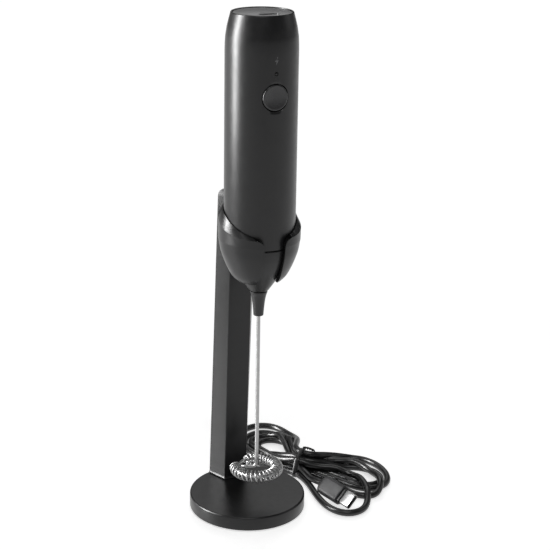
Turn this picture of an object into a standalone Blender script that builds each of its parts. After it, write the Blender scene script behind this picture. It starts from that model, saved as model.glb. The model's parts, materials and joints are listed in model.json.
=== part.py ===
"""Cordless milk frother standing in its cradle, with a tied USB charging cable beside it.

Origin: centre of the base's underside. +Z is up, -Y is the front (button side), +X is to the right.
Sizes below are millimetres. Every mesh is scaled to metres when its object is made.
"""

import math

import bmesh
import bpy
from mathutils import Matrix, Vector

MM = 0.001
GAP = 0.3

# Driving dimensions of the frother
AXIS_Y = -12.0
BARREL_R = 17.55
BARREL_WALL = 1.9
SEAM_Z = 148.5
SHOULDER_Z = 244.0
TOP_Z = 261.2
TOP_RIM_R = 14.9
NOZZLE_SEAM_Z = 123.2
NOZZLE_TIP_Z = 110.2
BUTTON_Z = 223.3
BUTTON_R = 6.3
BUTTON_TRAVEL = 0.8
INDICATOR_Z = 234.6
USB_Y = -19.8
SHAFT_R = 1.0
WHISK_Z = 26.7
WHISK_RING_R = 10.6
WHISK_COIL_R = 2.75
WHISK_WIRE_R = 0.4
WHISK_TURNS = 29

# Driving dimensions of the stand
BASE_R = 30.0
BASE_H = 7.7
POST_FRONT_HALF = 6.0
POST_BACK_HALF = 10.75
POST_TOP_Z = 169.0
SLOT_HALF = 5.4
RIM_FRONT_Z = 154.6
RIM_BACK_Z = 169.0

# The charging cable
CABLE_R = 1.75
HANK_H = 2 * 2 * CABLE_R + 0.2
TIE_CENTRE = Vector((41.0, 23.6, 6.95))
TIE_AXIS = Vector((0.68, -0.733, 0)).normalized()
WAIST_HALF_LENGTH = 4.0
WAIST_WIDTH = 10.4
WAIST_H = 12.0
TIE_HALF_WIDTH = 1.3

ROUND = 36
LARGE = 44
SMALL = 12

FRONT = Vector((0, -1, 0))
BACK = Vector((0, 1, 0))
UP = Vector((0, 0, 1))


# ---------------------------------------------------------------- materials


def material(name, colour, roughness, metallic=0.0):
    """A plain Principled material of the piece's own colour."""
    made = bpy.data.materials.new(name)
    made.use_nodes = True
    shader = made.node_tree.nodes["Principled BSDF"]
    shader.inputs["Base Color"].default_value = (*colour, 1.0)
    shader.inputs["Roughness"].default_value = roughness
    shader.inputs["Metallic"].default_value = metallic
    made.diffuse_color = (*colour, 1.0)
    return made


def make_materials():
    return {
        "handle": material("handle_plastic", (0.035, 0.035, 0.037), 0.35),
        "stand": material("stand_plastic", (0.030, 0.030, 0.032), 0.42),
        "trim": material("trim_plastic", (0.020, 0.020, 0.022), 0.30),
        "inner": material("inner_plastic", (0.55, 0.55, 0.53), 0.55),
        "rubber": material("rubber", (0.025, 0.025, 0.025), 0.85),
        "steel": material("stainless_steel", (0.70, 0.70, 0.69), 0.22, 1.0),
        "zinc": material("zinc_steel", (0.55, 0.56, 0.58), 0.38, 1.0),
        "brass": material("brass", (0.72, 0.55, 0.25), 0.32, 1.0),
        "board": material("circuit_board", (0.03, 0.22, 0.09), 0.50),
        "cell": material("battery_wrap", (0.10, 0.30, 0.55), 0.40),
        "lens": material("smoked_lens", (0.012, 0.012, 0.013), 0.15),
        "lamp": material("lamp_resin", (0.80, 0.80, 0.78), 0.25),
        "cable": material("cable_sheath", (0.018, 0.018, 0.019), 0.28),
        "overmould": material("plug_overmould", (0.050, 0.050, 0.052), 0.55),
        "contact": material("contact_plastic", (0.04, 0.04, 0.04), 0.50),
    }


# ------------------------------------------------------------ shape helpers


def clear_scene():
    for obj in list(bpy.data.objects):
        bpy.data.objects.remove(obj, do_unlink=True)


def empty(name, place):
    """A parent on a joint's axis, at a place given in millimetres."""
    made = bpy.data.objects.new(name, None)
    made.location = Vector(place) * MM
    made.empty_display_size = 0.01
    bpy.context.scene.collection.objects.link(made)
    return made


def finish(name, bm, finish_material=None, parent=None, smooth=35.0):
    """Turns a bmesh in world millimetres into an object whose origin is its parent's origin."""
    bmesh.ops.remove_doubles(bm, verts=bm.verts, dist=0.0005)
    bmesh.ops.recalc_face_normals(bm, faces=bm.faces)
    origin = parent.location / MM if parent else Vector((0, 0, 0))
    bmesh.ops.translate(bm, verts=bm.verts, vec=-origin)
    bmesh.ops.scale(bm, verts=bm.verts, vec=(MM, MM, MM))
    mesh = bpy.data.meshes.new(name)
    bm.to_mesh(mesh)
    bm.free()
    obj = bpy.data.objects.new(name, mesh)
    bpy.context.scene.collection.objects.link(obj)
    obj.parent = parent
    if finish_material:
        mesh.materials.append(finish_material)
    mesh.shade_smooth()
    mesh.set_sharp_from_angle(angle=math.radians(smooth))
    return obj


def cutter(name, bm):
    """A helper that only cuts or joins, and is left out of the part."""
    obj = finish(name, bm)
    obj.hide_render = True
    obj.display_type = "WIRE"
    return obj


def boolean(obj, helper, operation="DIFFERENCE"):
    step = obj.modifiers.new(helper.name, "BOOLEAN")
    step.operation = operation
    step.solver = "EXACT"
    step.object = helper


def loft(rings, closed=False):
    """A solid through rings of equally many points. A closed loft joins its last ring to its first."""
    bm = bmesh.new()
    made = [[bm.verts.new(p) for p in ring] for ring in rings]
    count = len(rings[0])
    pairs = list(zip(made, made[1:]))
    if closed:
        pairs.append((made[-1], made[0]))
    for low, high in pairs:
        for i in range(count):
            j = (i + 1) % count
            bm.faces.new((low[i], low[j], high[j], high[i]))
    if not closed:
        bm.faces.new(made[0])
        bm.faces.new(made[-1])
    return bm


def lathe(profile, centre=(0.0, 0.0), segments=ROUND, frame=None, closed=False):
    """A turned solid of (radius, height) points, from axis to axis or as a closed ring around a bore."""
    bm = bmesh.new()
    rings = []
    for radius, height in profile:
        if radius < 1e-6:
            rings.append([bm.verts.new((0, 0, height))])
            continue
        turns = [2 * math.pi * i / segments for i in range(segments)]
        ring = [(radius * math.cos(t), radius * math.sin(t), height) for t in turns]
        rings.append([bm.verts.new(p) for p in ring])
    pairs = list(zip(rings, rings[1:]))
    if closed:
        pairs.append((rings[-1], rings[0]))
    for a, b in pairs:
        for i in range(segments):
            j = (i + 1) % segments
            corners = (a[i % len(a)], a[j % len(a)], b[j % len(b)], b[i % len(b)])
            unique = list(dict.fromkeys(corners))
            if len(unique) > 2:
                bm.faces.new(unique)
    place = frame or Matrix.Translation((centre[0], centre[1], 0))
    bmesh.ops.transform(bm, matrix=place, verts=bm.verts)
    return bm


def on_axis(profile, segments=ROUND, closed=False):
    """A turned solid on the frother's own axis."""
    return lathe(profile, (0, AXIS_Y), segments, closed=closed)


def along(start, direction, across=None):
    """A frame at start whose Z points along direction, and whose X is nearest to across."""
    z = Vector(direction).normalized()
    guide = Vector(across) if across else (UP if abs(z.z) < 0.9 else Vector((1, 0.13, 0)))
    x = (guide - z * guide.dot(z)).normalized()
    y = z.cross(x)
    turn = Matrix((x, y, z)).transposed().to_4x4()
    return Matrix.Translation(start) @ turn


def rod(start, direction, steps, segments=SMALL):
    """A stepped pin from start: steps are (radius, distance) pairs along direction."""
    profile = [(0, steps[0][1])]
    profile += list(steps)
    profile.append((0, steps[-1][1]))
    return lathe(profile, segments=segments, frame=along(start, direction))


def box(low, high):
    """A box between two corners."""
    bm = bmesh.new()
    bmesh.ops.create_cube(bm, size=1.0)
    low, high = Vector(low), Vector(high)
    bmesh.ops.scale(bm, verts=bm.verts, vec=high - low)
    bmesh.ops.translate(bm, verts=bm.verts, vec=(low + high) / 2)
    return bm


def prism(outline, bottom, top, frame=None):
    """An outline of (x, y) points extruded along Z."""
    rings = [[(x, y, z) for x, y in outline] for z in (bottom, top)]
    bm = loft(rings)
    if frame:
        bmesh.ops.transform(bm, matrix=frame, verts=bm.verts)
    return bm


def stadium(width, height, steps=8):
    """A slot outline with round ends, width by height."""
    end = height / 2
    reach = width / 2 - end
    outline = []
    for side in (1, -1):
        for i in range(steps + 1):
            turn = math.pi * (i / steps - 0.5)
            outline.append((side * (reach + end * math.cos(turn)), side * end * math.sin(turn)))
    return outline


def rounded_box(width, height, radius, steps=4):
    """A rectangle outline with round corners."""
    outline = []
    for sx, sy, start in ((1, 1, 0), (-1, 1, 90), (-1, -1, 180), (1, -1, 270)):
        for i in range(steps + 1):
            turn = math.radians(start + 90 * i / steps)
            x = sx * (width / 2 - radius) + radius * math.cos(turn)
            y = sy * (height / 2 - radius) + radius * math.sin(turn)
            outline.append((x, y))
    return outline


def smooth_line(points, per_span, closed=False):
    """Points on a smooth curve through the given ones (Catmull-Rom)."""
    points = [Vector(p) for p in points]
    count = len(points)
    line = []
    for i in range(count if closed else count - 1):
        if closed:
            a, b, c, d = (points[(i + k) % count] for k in (-1, 0, 1, 2))
        else:
            a, b, c, d = (points[min(max(i + k, 0), count - 1)] for k in (-1, 0, 1, 2))
        for k in range(per_span):
            t = k / per_span
            blend = 2 * b + (c - a) * t
            blend += (2 * a - 5 * b + 4 * c - d) * t * t
            blend += (3 * b - a - 3 * c + d) * t * t * t
            line.append(blend / 2)
    if not closed:
        line.append(points[-1])
    return line


def sweep(line, radius, sides):
    """A round wire along a line of points."""
    line = [Vector(p) for p in line]
    rings = []
    side = None
    for i, point in enumerate(line):
        ahead = (line[min(i + 1, len(line) - 1)] - line[max(i - 1, 0)]).normalized()
        if side is None:
            side = ahead.orthogonal().normalized()
        side = (side - ahead * side.dot(ahead)).normalized()
        other = ahead.cross(side)
        turns = [2 * math.pi * k / sides for k in range(sides)]
        rings.append([point + radius * (side * math.cos(t) + other * math.sin(t)) for t in turns])
    return loft(rings)


def cord_tube(name, route, finish_material):
    """A free stretch of cable: a POLY curve with a round bevel, read from a smooth line through the route."""
    line = smooth_line(route, 2)
    curve = bpy.data.curves.new(name, "CURVE")
    curve.dimensions = "3D"
    curve.bevel_depth = CABLE_R * MM
    curve.bevel_resolution = 2
    curve.use_fill_caps = True
    spline = curve.splines.new("POLY")
    spline.points.add(len(line) - 1)
    for point, place in zip(spline.points, line):
        point.co = (*(place * MM), 1.0)
    curve.materials.append(finish_material)
    obj = bpy.data.objects.new(name, curve)
    bpy.context.scene.collection.objects.link(obj)
    return obj


# --------------------------------------------------------------------- stand

COVER_SCREW_SPOTS = [(-17.3, -10.0), (17.3, -10.0), (0.0, 13.0)]
POST_SCREW_SPOTS = [(-4.5, 23.3), (4.5, 23.3)]
CRADLE_SCREW_HEIGHTS = (147.0, 159.0)

PAD_TOP = 1.2
COVER_Z = (1.5, 3.2)
BALLAST_Z = (3.5, 5.4)
BASE_CEILING = 5.7


def post_front(z):
    """The post's front face leans back towards its foot."""
    return 16.9 - 0.046 * z


def post_back(z):
    """The post's rear corners follow the base's rim at the foot."""
    return 28.1 - 0.066 * z


def post_outline(z, grow=0.0, steps=8):
    """The post in plan: flat front, flared sides, rounded back. A negative grow moves it inwards."""
    front = post_front(z) - grow
    back = post_back(z) + min(grow, 0.0)
    half_front = POST_FRONT_HALF + grow
    half_back = POST_BACK_HALF + (grow if grow < 0 else 0.4 * grow)
    outline = [(-half_front, front), (half_front, front)]
    for i in range(steps + 1):
        share = 1 - 2 * i / steps
        outline.append((half_back * share, back + 1.9 * (1 - share * share)))
    return outline


def make_base(finish_material):
    profile = [
        (0, BASE_H),
        (BASE_R - 1.0, BASE_H),
        (BASE_R - 0.4, BASE_H - 0.2),
        (BASE_R, BASE_H - 0.75),
        (BASE_R, 0.8),
        (BASE_R - 0.3, 0.5),
        (BASE_R - 2.0, 0.5),
        (BASE_R - 2.0, BASE_CEILING),
        (0, BASE_CEILING),
    ]
    base = finish("stand_base", lathe(profile, segments=60), finish_material)
    for i, (x, y) in enumerate(COVER_SCREW_SPOTS):
        boss = rod((x, y, COVER_Z[1] + GAP), UP, [(2.7, 0), (2.7, BASE_CEILING - COVER_Z[1] + 0.4)])
        boolean(base, cutter(f"base_boss_{i}", boss), "UNION")
        hole = rod((x, y, 2.0), UP, [(1.5, 0), (1.5, 4.6)])
        boolean(base, cutter(f"base_boss_hole_{i}", hole))
    for i, (x, y) in enumerate(POST_SCREW_SPOTS):
        hole = rod((x, y, 4.0), UP, [(1.6, 0), (1.6, 5.0)])
        boolean(base, cutter(f"base_post_hole_{i}", hole))


def make_ballast(finish_material):
    radius = BASE_R - 2.5
    profile = [(0, BALLAST_Z[0]), (radius, BALLAST_Z[0]), (radius, BALLAST_Z[1]), (0, BALLAST_Z[1])]
    plate = finish("ballast_plate", lathe(profile), finish_material)
    for i, (x, y) in enumerate(COVER_SCREW_SPOTS + POST_SCREW_SPOTS):
        hole = rod((x, y, 2.0), UP, [(3.1, 0), (3.1, 5.0)])
        boolean(plate, cutter(f"ballast_hole_{i}", hole))


def make_cover(finish_material):
    radius = BASE_R - 2.4
    profile = [(0, COVER_Z[0]), (radius, COVER_Z[0]), (radius, COVER_Z[1]), (0, COVER_Z[1])]
    cover = finish("base_cover", lathe(profile), finish_material)
    for i, (x, y) in enumerate(COVER_SCREW_SPOTS):
        pocket = rod((x, y, 1.0), UP, [(2.6, 0), (2.6, 1.7), (1.5, 1.7), (1.5, 3.0)])
        boolean(cover, cutter(f"cover_hole_{i}", pocket))


def make_pad(finish_material):
    radius = BASE_R - 3.0
    profile = [(0, 0), (radius - 0.3, 0), (radius, 0.3), (radius, PAD_TOP), (0, PAD_TOP)]
    finish("nonslip_pad", lathe(profile), finish_material)


def make_post(finish_material):
    levels = [(8.0, 0.8), (8.4, 0.3), (9.2, 0.0), (60.0, 0.0), (110.0, 0.0)]
    levels += [(150.0, 0.0), (POST_TOP_Z - 3.4, 0.0), (POST_TOP_Z - 1.2, -0.7), (POST_TOP_Z, -2.4)]
    rings = [[(x, y, z) for x, y in post_outline(z, grow)] for z, grow in levels]
    post = finish("stand_post", loft(rings), finish_material, smooth=25)
    hollow = [[(x, y, z) for x, y in post_outline(z, -2.0)] for z in (24.0, 70.0, 138.0)]
    boolean(post, cutter("post_hollow", loft(hollow)))
    boolean(post, cutter("post_core", rod((0, 22.0, 6.0), UP, [(1.7, 0), (1.7, 22.0)])))
    for i, (x, y) in enumerate(POST_SCREW_SPOTS):
        hole = rod((x, y, 7.0), UP, [(1.6, 0), (1.6, 11.0)])
        boolean(post, cutter(f"post_foot_hole_{i}", hole))
    for i, z in enumerate(CRADLE_SCREW_HEIGHTS):
        hole = rod((0, post_front(z) - 1.0, z), BACK, [(1.6, 0), (1.6, 7.6)])
        boolean(post, cutter(f"post_cradle_hole_{i}", hole))


BOWL_OUTER = [
    (129.6, 11.3),
    (132.6, 14.0),
    (138.3, 16.8),
    (144.5, 19.0),
    (149.0, 19.8),
]
CONE_OUTER = [
    (NOZZLE_SEAM_Z + 0.3, 4.75),
    (129.0, 8.5),
    (134.0, 11.9),
    (138.0, 14.3),
    (142.0, 16.05),
    (145.5, 17.05),
    (SEAM_Z - 0.4, 17.5),
]
BOWL_CLEARANCE = 0.45
BOWL_R = 20.2


def rim_heights(turn):
    """Outer and inner edge of the cradle's rim, at an angle from the front, in degrees."""
    share = (1 - math.cos(math.radians(turn))) / 2
    rise = RIM_BACK_Z - RIM_FRONT_Z
    outer = RIM_FRONT_Z + rise * share**1.75
    lean = 5.2 * math.sin(math.radians(min(turn, 180 - turn) * 0.9)) ** 2
    return outer, min(outer + lean, RIM_BACK_Z)


def cradle_ring(turn):
    """One closed cross-section of the cradle's wall, at an angle from the front."""
    outer_z, inner_z = rim_heights(abs(turn))
    outer = [(r, z) for z, r in BOWL_OUTER] + [(BOWL_R, outer_z)]
    inner = [(BARREL_R + BOWL_CLEARANCE, inner_z), (BARREL_R + BOWL_CLEARANCE, SEAM_Z)]
    cone = [(r + BOWL_CLEARANCE, z) for z, r in reversed(CONE_OUTER) if BOWL_OUTER[0][0] < z < SEAM_Z - 1]
    section = outer + inner + cone + [(9.4, BOWL_OUTER[0][0])]
    x, y = math.sin(math.radians(turn)), -math.cos(math.radians(turn))
    return [(r * x, AXIS_Y + r * y, z) for r, z in section]


def slot_outline():
    """The front slot seen from the front: straight sides that flare out at the rim."""
    flare = 4.0
    rim = RIM_FRONT_Z - 0.3
    side = [(SLOT_HALF, 120.0), (SLOT_HALF, rim - flare)]
    for i in range(1, 7):
        turn = math.radians(90 * i / 6)
        side.append((SLOT_HALF + flare * (1 - math.cos(turn)), rim - flare + flare * math.sin(turn)))
    side.append((SLOT_HALF + flare, 175.0))
    return side + [(-x, z) for x, z in reversed(side)]


def block_ring(z):
    """The block behind the cradle in plan, up to the leaning post's face."""
    back = post_front(z) - GAP
    return [(-5.6, 6.6, z), (5.6, 6.6, z), (5.6, back, z), (-5.6, back, z)]


def make_cradle(finish_material):
    turns = range(-180, 180, 8)
    cradle = finish("cradle", loft([cradle_ring(t) for t in turns], closed=True), finish_material)
    boolean(cradle, cutter("cradle_block", loft([block_ring(z) for z in (141.0, 166.0)])), "UNION")
    slot = [[(x, y, z) for x, z in slot_outline()] for y in (AXIS_Y - 24.0, AXIS_Y - 5.0)]
    boolean(cradle, cutter("cradle_slot", loft(slot)))
    for i, z in enumerate(CRADLE_SCREW_HEIGHTS):
        hole = rod((0, 2.0, z), BACK, [(3.2, 0), (3.2, 5.9), (1.6, 5.9), (1.6, 10.0)])
        boolean(cradle, cutter(f"cradle_hole_{i}", hole))


def make_screws(finish_material):
    for i, (x, y) in enumerate(COVER_SCREW_SPOTS):
        body = rod((x, y, 1.5), UP, [(2.2, 0), (2.2, 0.9), (1.2, 0.9), (1.2, 4.6)])
        finish(f"cover_screw_{i + 1}", body, finish_material)
    for i, (x, y) in enumerate(POST_SCREW_SPOTS):
        body = rod((x, y, 4.0), UP, [(2.6, 0), (2.6, 1.4), (1.3, 1.4), (1.3, 13.5)])
        finish(f"post_screw_{i + 1}", body, finish_material)
    for i, z in enumerate(CRADLE_SCREW_HEIGHTS):
        body = rod((0, 6.2, z), BACK, [(2.8, 0), (2.8, 1.4), (1.3, 1.4), (1.3, 9.4)])
        finish(f"cradle_screw_{i + 1}", body, finish_material)


# -------------------------------------------------------------- frother body

BARREL_PROFILE = [
    (17.3, SEAM_Z + 0.2),
    (BARREL_R, SEAM_Z + 0.5),
    (BARREL_R, SHOULDER_Z),
    (17.35, 249.0),
    (17.05, 251.5),
    (16.65, 254.0),
    (16.2, 256.0),
    (15.7, 258.0),
    (15.25, 259.7),
    (TOP_RIM_R, TOP_Z - 0.3),
    (14.55, TOP_Z),
    (14.2, TOP_Z - 0.3),
    (14.2, 258.2),
    (12.6, 258.2),
    (12.6, 257.2),
    (14.2, 253.0),
    (15.4, 248.0),
    (BARREL_R - BARREL_WALL, SHOULDER_Z),
    (BARREL_R - BARREL_WALL, SEAM_Z + 0.2),
]


def make_barrel(finish_material, parent):
    shell = finish("handle_shell", on_axis(BARREL_PROFILE, LARGE, closed=True), finish_material, parent)
    bore = rod((0, -36.0, BUTTON_Z), BACK, [(BUTTON_R + 0.4, 0), (BUTTON_R + 0.4, 12.5)], ROUND)
    boolean(shell, cutter("button_bore", bore))
    hole = rod((0, -36.0, INDICATOR_Z), BACK, [(1.05, 0), (1.05, 12.0)])
    boolean(shell, cutter("indicator_bore", hole))


def make_top_cap(finish_material, parent):
    profile = [(0, 258.5), (13.9, 258.5), (13.9, 260.6), (13.6, 260.9), (0, 260.9)]
    cap = finish("top_cap", on_axis(profile, ROUND), finish_material, parent)
    opening = prism(stadium(9.6, 3.8), 257.0, 262.0, Matrix.Translation((0, USB_Y, 0)))
    boolean(cap, cutter("charge_opening", opening))


def make_charge_socket(metal, plastic, parent):
    place = Matrix.Translation((0, USB_Y, 0))
    shell = finish("charge_socket_shell", prism(stadium(8.94, 3.16), 253.2, 260.5, place), metal, parent)
    boolean(shell, cutter("socket_hollow", prism(stadium(8.34, 2.56), 254.0, 262.0, place)))
    tongue = prism(rounded_box(6.7, 0.7, 0.25, 2), 254.3, 259.6, place)
    finish("charge_socket_tongue", tongue, plastic, parent)


def make_nose_cone(finish_material, parent):
    outer = [(r, z) for z, r in CONE_OUTER]
    spigot = [(17.3, SEAM_Z - 0.1), (15.3, SEAM_Z - 0.1), (15.3, 154.0), (13.9, 154.0)]
    inner = [(13.9, 142.5), (11.7, 137.0), (7.8, 131.0), (3.6, 126.0)]
    hole = [(1.6, 126.0), (1.6, NOZZLE_SEAM_Z + 0.3)]
    bm = on_axis(outer + spigot + inner + hole, LARGE, closed=True)
    finish("nose_cone", bm, finish_material, parent)


def make_nozzle(finish_material, parent):
    profile = [
        (1.5, NOZZLE_SEAM_Z),
        (4.4, NOZZLE_SEAM_Z),
        (4.4, NOZZLE_SEAM_Z - 0.5),
        (3.75, 121.0),
        (3.1, 117.3),
        (2.7, 113.0),
        (2.55, NOZZLE_TIP_Z + 0.3),
        (2.3, NOZZLE_TIP_Z),
        (1.5, NOZZLE_TIP_Z),
    ]
    finish("nozzle", on_axis(profile, 20, closed=True), finish_material, parent)


def make_bush(finish_material, parent):
    profile = [(1.3, 126.3), (3.1, 126.3), (3.1, 127.8), (1.3, 127.8)]
    finish("shaft_bush", on_axis(profile, SMALL, closed=True), finish_material, parent)


MOTOR_Z = (152.0, 179.5)
MOTOR_R = 12.0


def make_motor(metal, plastic, rubber, parent):
    low, high = MOTOR_Z
    can = [(0, 156.0), (1.3, 156.0), (1.3, 150.5), (3.0, 150.5), (3.0, low)]
    can += [(MOTOR_R - 0.6, low), (MOTOR_R, low + 0.6), (MOTOR_R, high), (0, high)]
    finish("motor_can", on_axis(can), metal, parent)
    cap_r = MOTOR_R - 0.5
    cap = [(0, high + GAP), (cap_r, high + GAP), (cap_r, 182.3), (0, 182.3)]
    finish("motor_end_cap", on_axis(cap), plastic, parent)
    ring = [(MOTOR_R + GAP, 155.5), (15.3, 155.5), (15.3, 170.0), (MOTOR_R + GAP, 170.0)]
    finish("motor_damper", on_axis(ring, closed=True), rubber, parent)


def make_chassis(finish_material, parent):
    profile = [(0, 182.8), (15.2, 182.8), (15.2, 242.0), (14.3, 242.0), (14.3, 185.0), (0, 185.0)]
    chassis = finish("inner_chassis", on_axis(profile), finish_material, parent)
    boolean(chassis, cutter("chassis_window", box((-20, -40, 185.6), (20, -15.5, 250))))


def make_battery(finish_material, parent):
    profile = [(0, 186.0), (9.1, 186.0), (9.1, 250.5), (2.5, 250.5), (2.5, 251.3), (0, 251.3)]
    finish("battery_cell", lathe(profile, (0, -7.2), 24), finish_material, parent)


BOARD_Y = (-17.9, -16.7)


def make_board(finish_material, parent):
    board = box((-9.0, BOARD_Y[0], 186.0), (9.0, BOARD_Y[1], 257.0))
    finish("circuit_board", board, finish_material, parent)


def make_switch(plastic, lens, lamp, parent):
    front = BOARD_Y[0] - GAP
    case = box((-3.0, front - 4.3, BUTTON_Z - 3.0), (3.0, front, BUTTON_Z + 3.0))
    body = finish("switch_body", case, plastic, parent)
    well = rod((0, front - 5.0, BUTTON_Z), BACK, [(2.0, 0), (2.0, 4.2)])
    boolean(body, cutter("switch_well", well))
    led = box((-0.8, front - 0.8, INDICATOR_Z - 0.8), (0.8, front, INDICATOR_Z + 0.8))
    finish("indicator_led", led, lamp, parent)
    pipe = rod((0, front - 1.1, INDICATOR_Z), FRONT, [(0.75, 0), (0.75, 10.1)])
    finish("indicator_lens", pipe, lens, parent)


def make_button(plastic, parent):
    """The cap sits in its bore; the plunger in the switch moves with it."""
    front = AXIS_Y - BARREL_R + 0.35
    cap = [(0, 0.55), (3.4, 0.42), (BUTTON_R - 0.9, 0.05), (BUTTON_R - 0.4, 0.0), (BUTTON_R, 0.3)]
    cap += [(BUTTON_R, 4.0), (7.4, 4.0), (7.4, 4.9), (1.6, 4.9), (1.6, 5.5), (0, 5.5)]
    button = lathe(cap, segments=ROUND, frame=along((0, front, BUTTON_Z), BACK))
    finish("power_button", button, plastic, parent)
    stem_end = front + 5.5
    plunger = rod((0, stem_end + GAP, BUTTON_Z), BACK, [(1.6, 0), (1.6, 2.1)])
    finish("switch_plunger", plunger, plastic, parent)


# --------------------------------------------------------------------- rotor

WHISK_ARM_TURN = math.radians(160.0)
WHISK_ARM_REACH = 6.2
WHISK_START = math.radians(106.0)
WHISK_SWEEP = math.radians(-319.0)


def on_ring(share, reach=WHISK_RING_R, lift=0.0):
    """A point on the whisk's ring; share runs from the arm round to the free end."""
    turn = WHISK_START + WHISK_SWEEP * share
    return Vector((reach * math.cos(turn), AXIS_Y + reach * math.sin(turn), WHISK_Z + lift))


def whisk_wire_line():
    """Straight down the axis, out along a short arm, then round the ring."""
    out = Vector((math.cos(WHISK_ARM_TURN), math.sin(WHISK_ARM_TURN), 0))
    low = Vector((0, AXIS_Y, WHISK_Z + 0.6))
    line = [Vector((0, AXIS_Y, z)) for z in (137.0, 100.0, 60.0, WHISK_Z + 2.8)]
    for i in range(1, 5):
        turn = math.radians(90 * i / 4)
        line.append(low + out * 2.2 * (1 - math.cos(turn)) + UP * 2.2 * (1 - math.sin(turn)))
    line.append(low + out * 4.4)
    line.append(low + out * WHISK_ARM_REACH)
    line.append(Vector((-6.9, AXIS_Y + 6.0, WHISK_Z + 0.2)))
    steps = 30
    for i in range(1, steps + 1):
        line.append(on_ring(i / steps))
    return line


def whisk_coil_line(per_turn=6):
    """A spring wound round the ring wire."""
    count = WHISK_TURNS * per_turn
    line = []
    for i in range(count + 1):
        twist = 2 * math.pi * i / per_turn
        reach = WHISK_RING_R + WHISK_COIL_R * math.cos(twist)
        line.append(on_ring(0.03 + 0.95 * i / count, reach, WHISK_COIL_R * math.sin(twist)))
    return line


def make_rotor(steel, brass, parent):
    shaft = on_axis([(0, 140.0), (SHAFT_R, 140.0), (SHAFT_R, 155.6), (0, 155.6)], SMALL)
    finish("motor_shaft", shaft, steel, parent)
    sleeve = [(1.3, 129.0), (2.6, 129.0), (2.6, 147.0), (1.3, 147.0)]
    finish("shaft_coupler", on_axis(sleeve, SMALL, closed=True), brass, parent)
    finish("whisk_wire", sweep(whisk_wire_line(), SHAFT_R, 8), steel, parent)
    finish("whisk_coil", sweep(whisk_coil_line(), WHISK_WIRE_R, 4), steel, parent, smooth=60)


# --------------------------------------------------------------------- cable

WAIST_SIDE = UP.cross(TIE_AXIS)

LEFT_LOBE = [
    (36.6, 24.4),
    (31.6, 25.8),
    (25.6, 31.8),
    (20.8, 39.0),
    (17.6, 47.4),
    (16.3, 56.0),
    (16.5, 61.6),
    (18.4, 63.2),
    (20.2, 64.4),
    (21.3, 70.2),
    (25.8, 78.2),
    (33.2, 84.0),
    (41.6, 86.6),
    (48.4, 85.0),
    (52.6, 79.4),
    (54.2, 71.6),
    (54.2, 62.0),
    (53.2, 51.6),
    (51.4, 41.0),
    (47.6, 31.6),
    (42.0, 27.6),
]
RIGHT_LOBE = [
    (44.8, 23.8),
    (49.4, 28.2),
    (56.6, 29.4),
    (64.0, 31.0),
    (71.4, 30.6),
    (78.0, 27.0),
    (82.6, 20.4),
    (84.4, 11.4),
    (83.8, 2.0),
    (80.8, -7.0),
    (75.2, -13.4),
    (70.4, -17.4),
    (65.8, -19.9),
    (60.6, -20.2),
    (56.4, -17.2),
    (53.4, -9.0),
    (51.6, -0.6),
    (48.8, 7.0),
    (45.6, 13.2),
    (42.8, 18.8),
]
RIGHT_LOBE_H = 2 * CABLE_R + 0.1

PLUG_LEAD = [
    (41.0, -4.1, 6.6),
    (40.2, -0.4, 6.3),
    (39.4, 4.6, 5.8),
    (40.3, 9.2, 5.7),
    (42.3, 12.8, 5.6),
    (43.6, 16.2, 5.4),
    (43.46, 18.3, 5.3),
    (42.64, 19.2, 5.3),
]
FRONT_LOOP = [
    (41.36, 18.0, 8.8),
    (42.18, 17.1, 8.9),
    (44.4, 15.3, 9.0),
    (47.4, 14.2, 8.2),
    (50.8, 14.2, 7.0),
    (54.8, 13.6, 6.3),
    (59.0, 11.2, 6.1),
    (62.6, 5.4, 5.9),
    (63.9, -1.5, 5.8),
    (62.9, -9.7, 5.8),
    (60.8, -17.5, 5.8),
    (58.6, -22.0, 5.5),
    (55.6, -26.6, 4.0),
    (51.6, -30.6, 2.5),
    (46.4, -33.4, 1.9),
    (41.8, -32.0, 1.85),
    (39.4, -26.6, 1.85),
    (38.6, -20.5, 1.85),
    (37.4, -14.5, 1.85),
    (36.3, -8.5, 1.85),
    (36.0, -2.5, 1.85),
    (36.8, 4.0, 1.85),
    (38.0, 10.5, 1.85),
    (38.6, 16.3, 1.85),
]
TAIL = [
    (18.5, 66.4, 1.9),
    (18.9, 70.0, 1.9),
    (19.9, 74.0, 2.2),
    (22.2, 81.0, 3.2),
    (24.6, 85.6, 4.0),
    (26.58, 89.02, 4.2),
]

PLUG_AXIS = Vector((0.229, -0.973, -0.01)).normalized()
PLUG_ROLL = math.radians(43.0)
PLUG_BACK = Vector((41.1, -4.5, 6.6))
A_PLUG_AXIS = Vector((0.385, 0.923, 0.0)).normalized()
A_PLUG_BACK = Vector((26.7, 89.3, 4.2))


def make_hank(finish_material):
    """The wound part of the cable: two flat lobes of loops joined at the tied waist."""
    bend = smooth_line([(x, y, 0) for x, y in LEFT_LOBE], 2, closed=True)
    left = finish("cable_hank", prism([(p.x, p.y) for p in bend], 0.05, HANK_H), finish_material)
    bend = smooth_line([(x, y, 0) for x, y in RIGHT_LOBE], 2, closed=True)
    right = prism([(p.x, p.y) for p in bend], 0.05, RIGHT_LOBE_H)
    boolean(left, cutter("hank_right_lobe", right), "UNION")
    section = rounded_box(WAIST_WIDTH, WAIST_H, 4.6)
    waist = prism(section, -WAIST_HALF_LENGTH, WAIST_HALF_LENGTH, along(TIE_CENTRE, TIE_AXIS, WAIST_SIDE))
    boolean(left, cutter("hank_waist", waist), "UNION")


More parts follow.
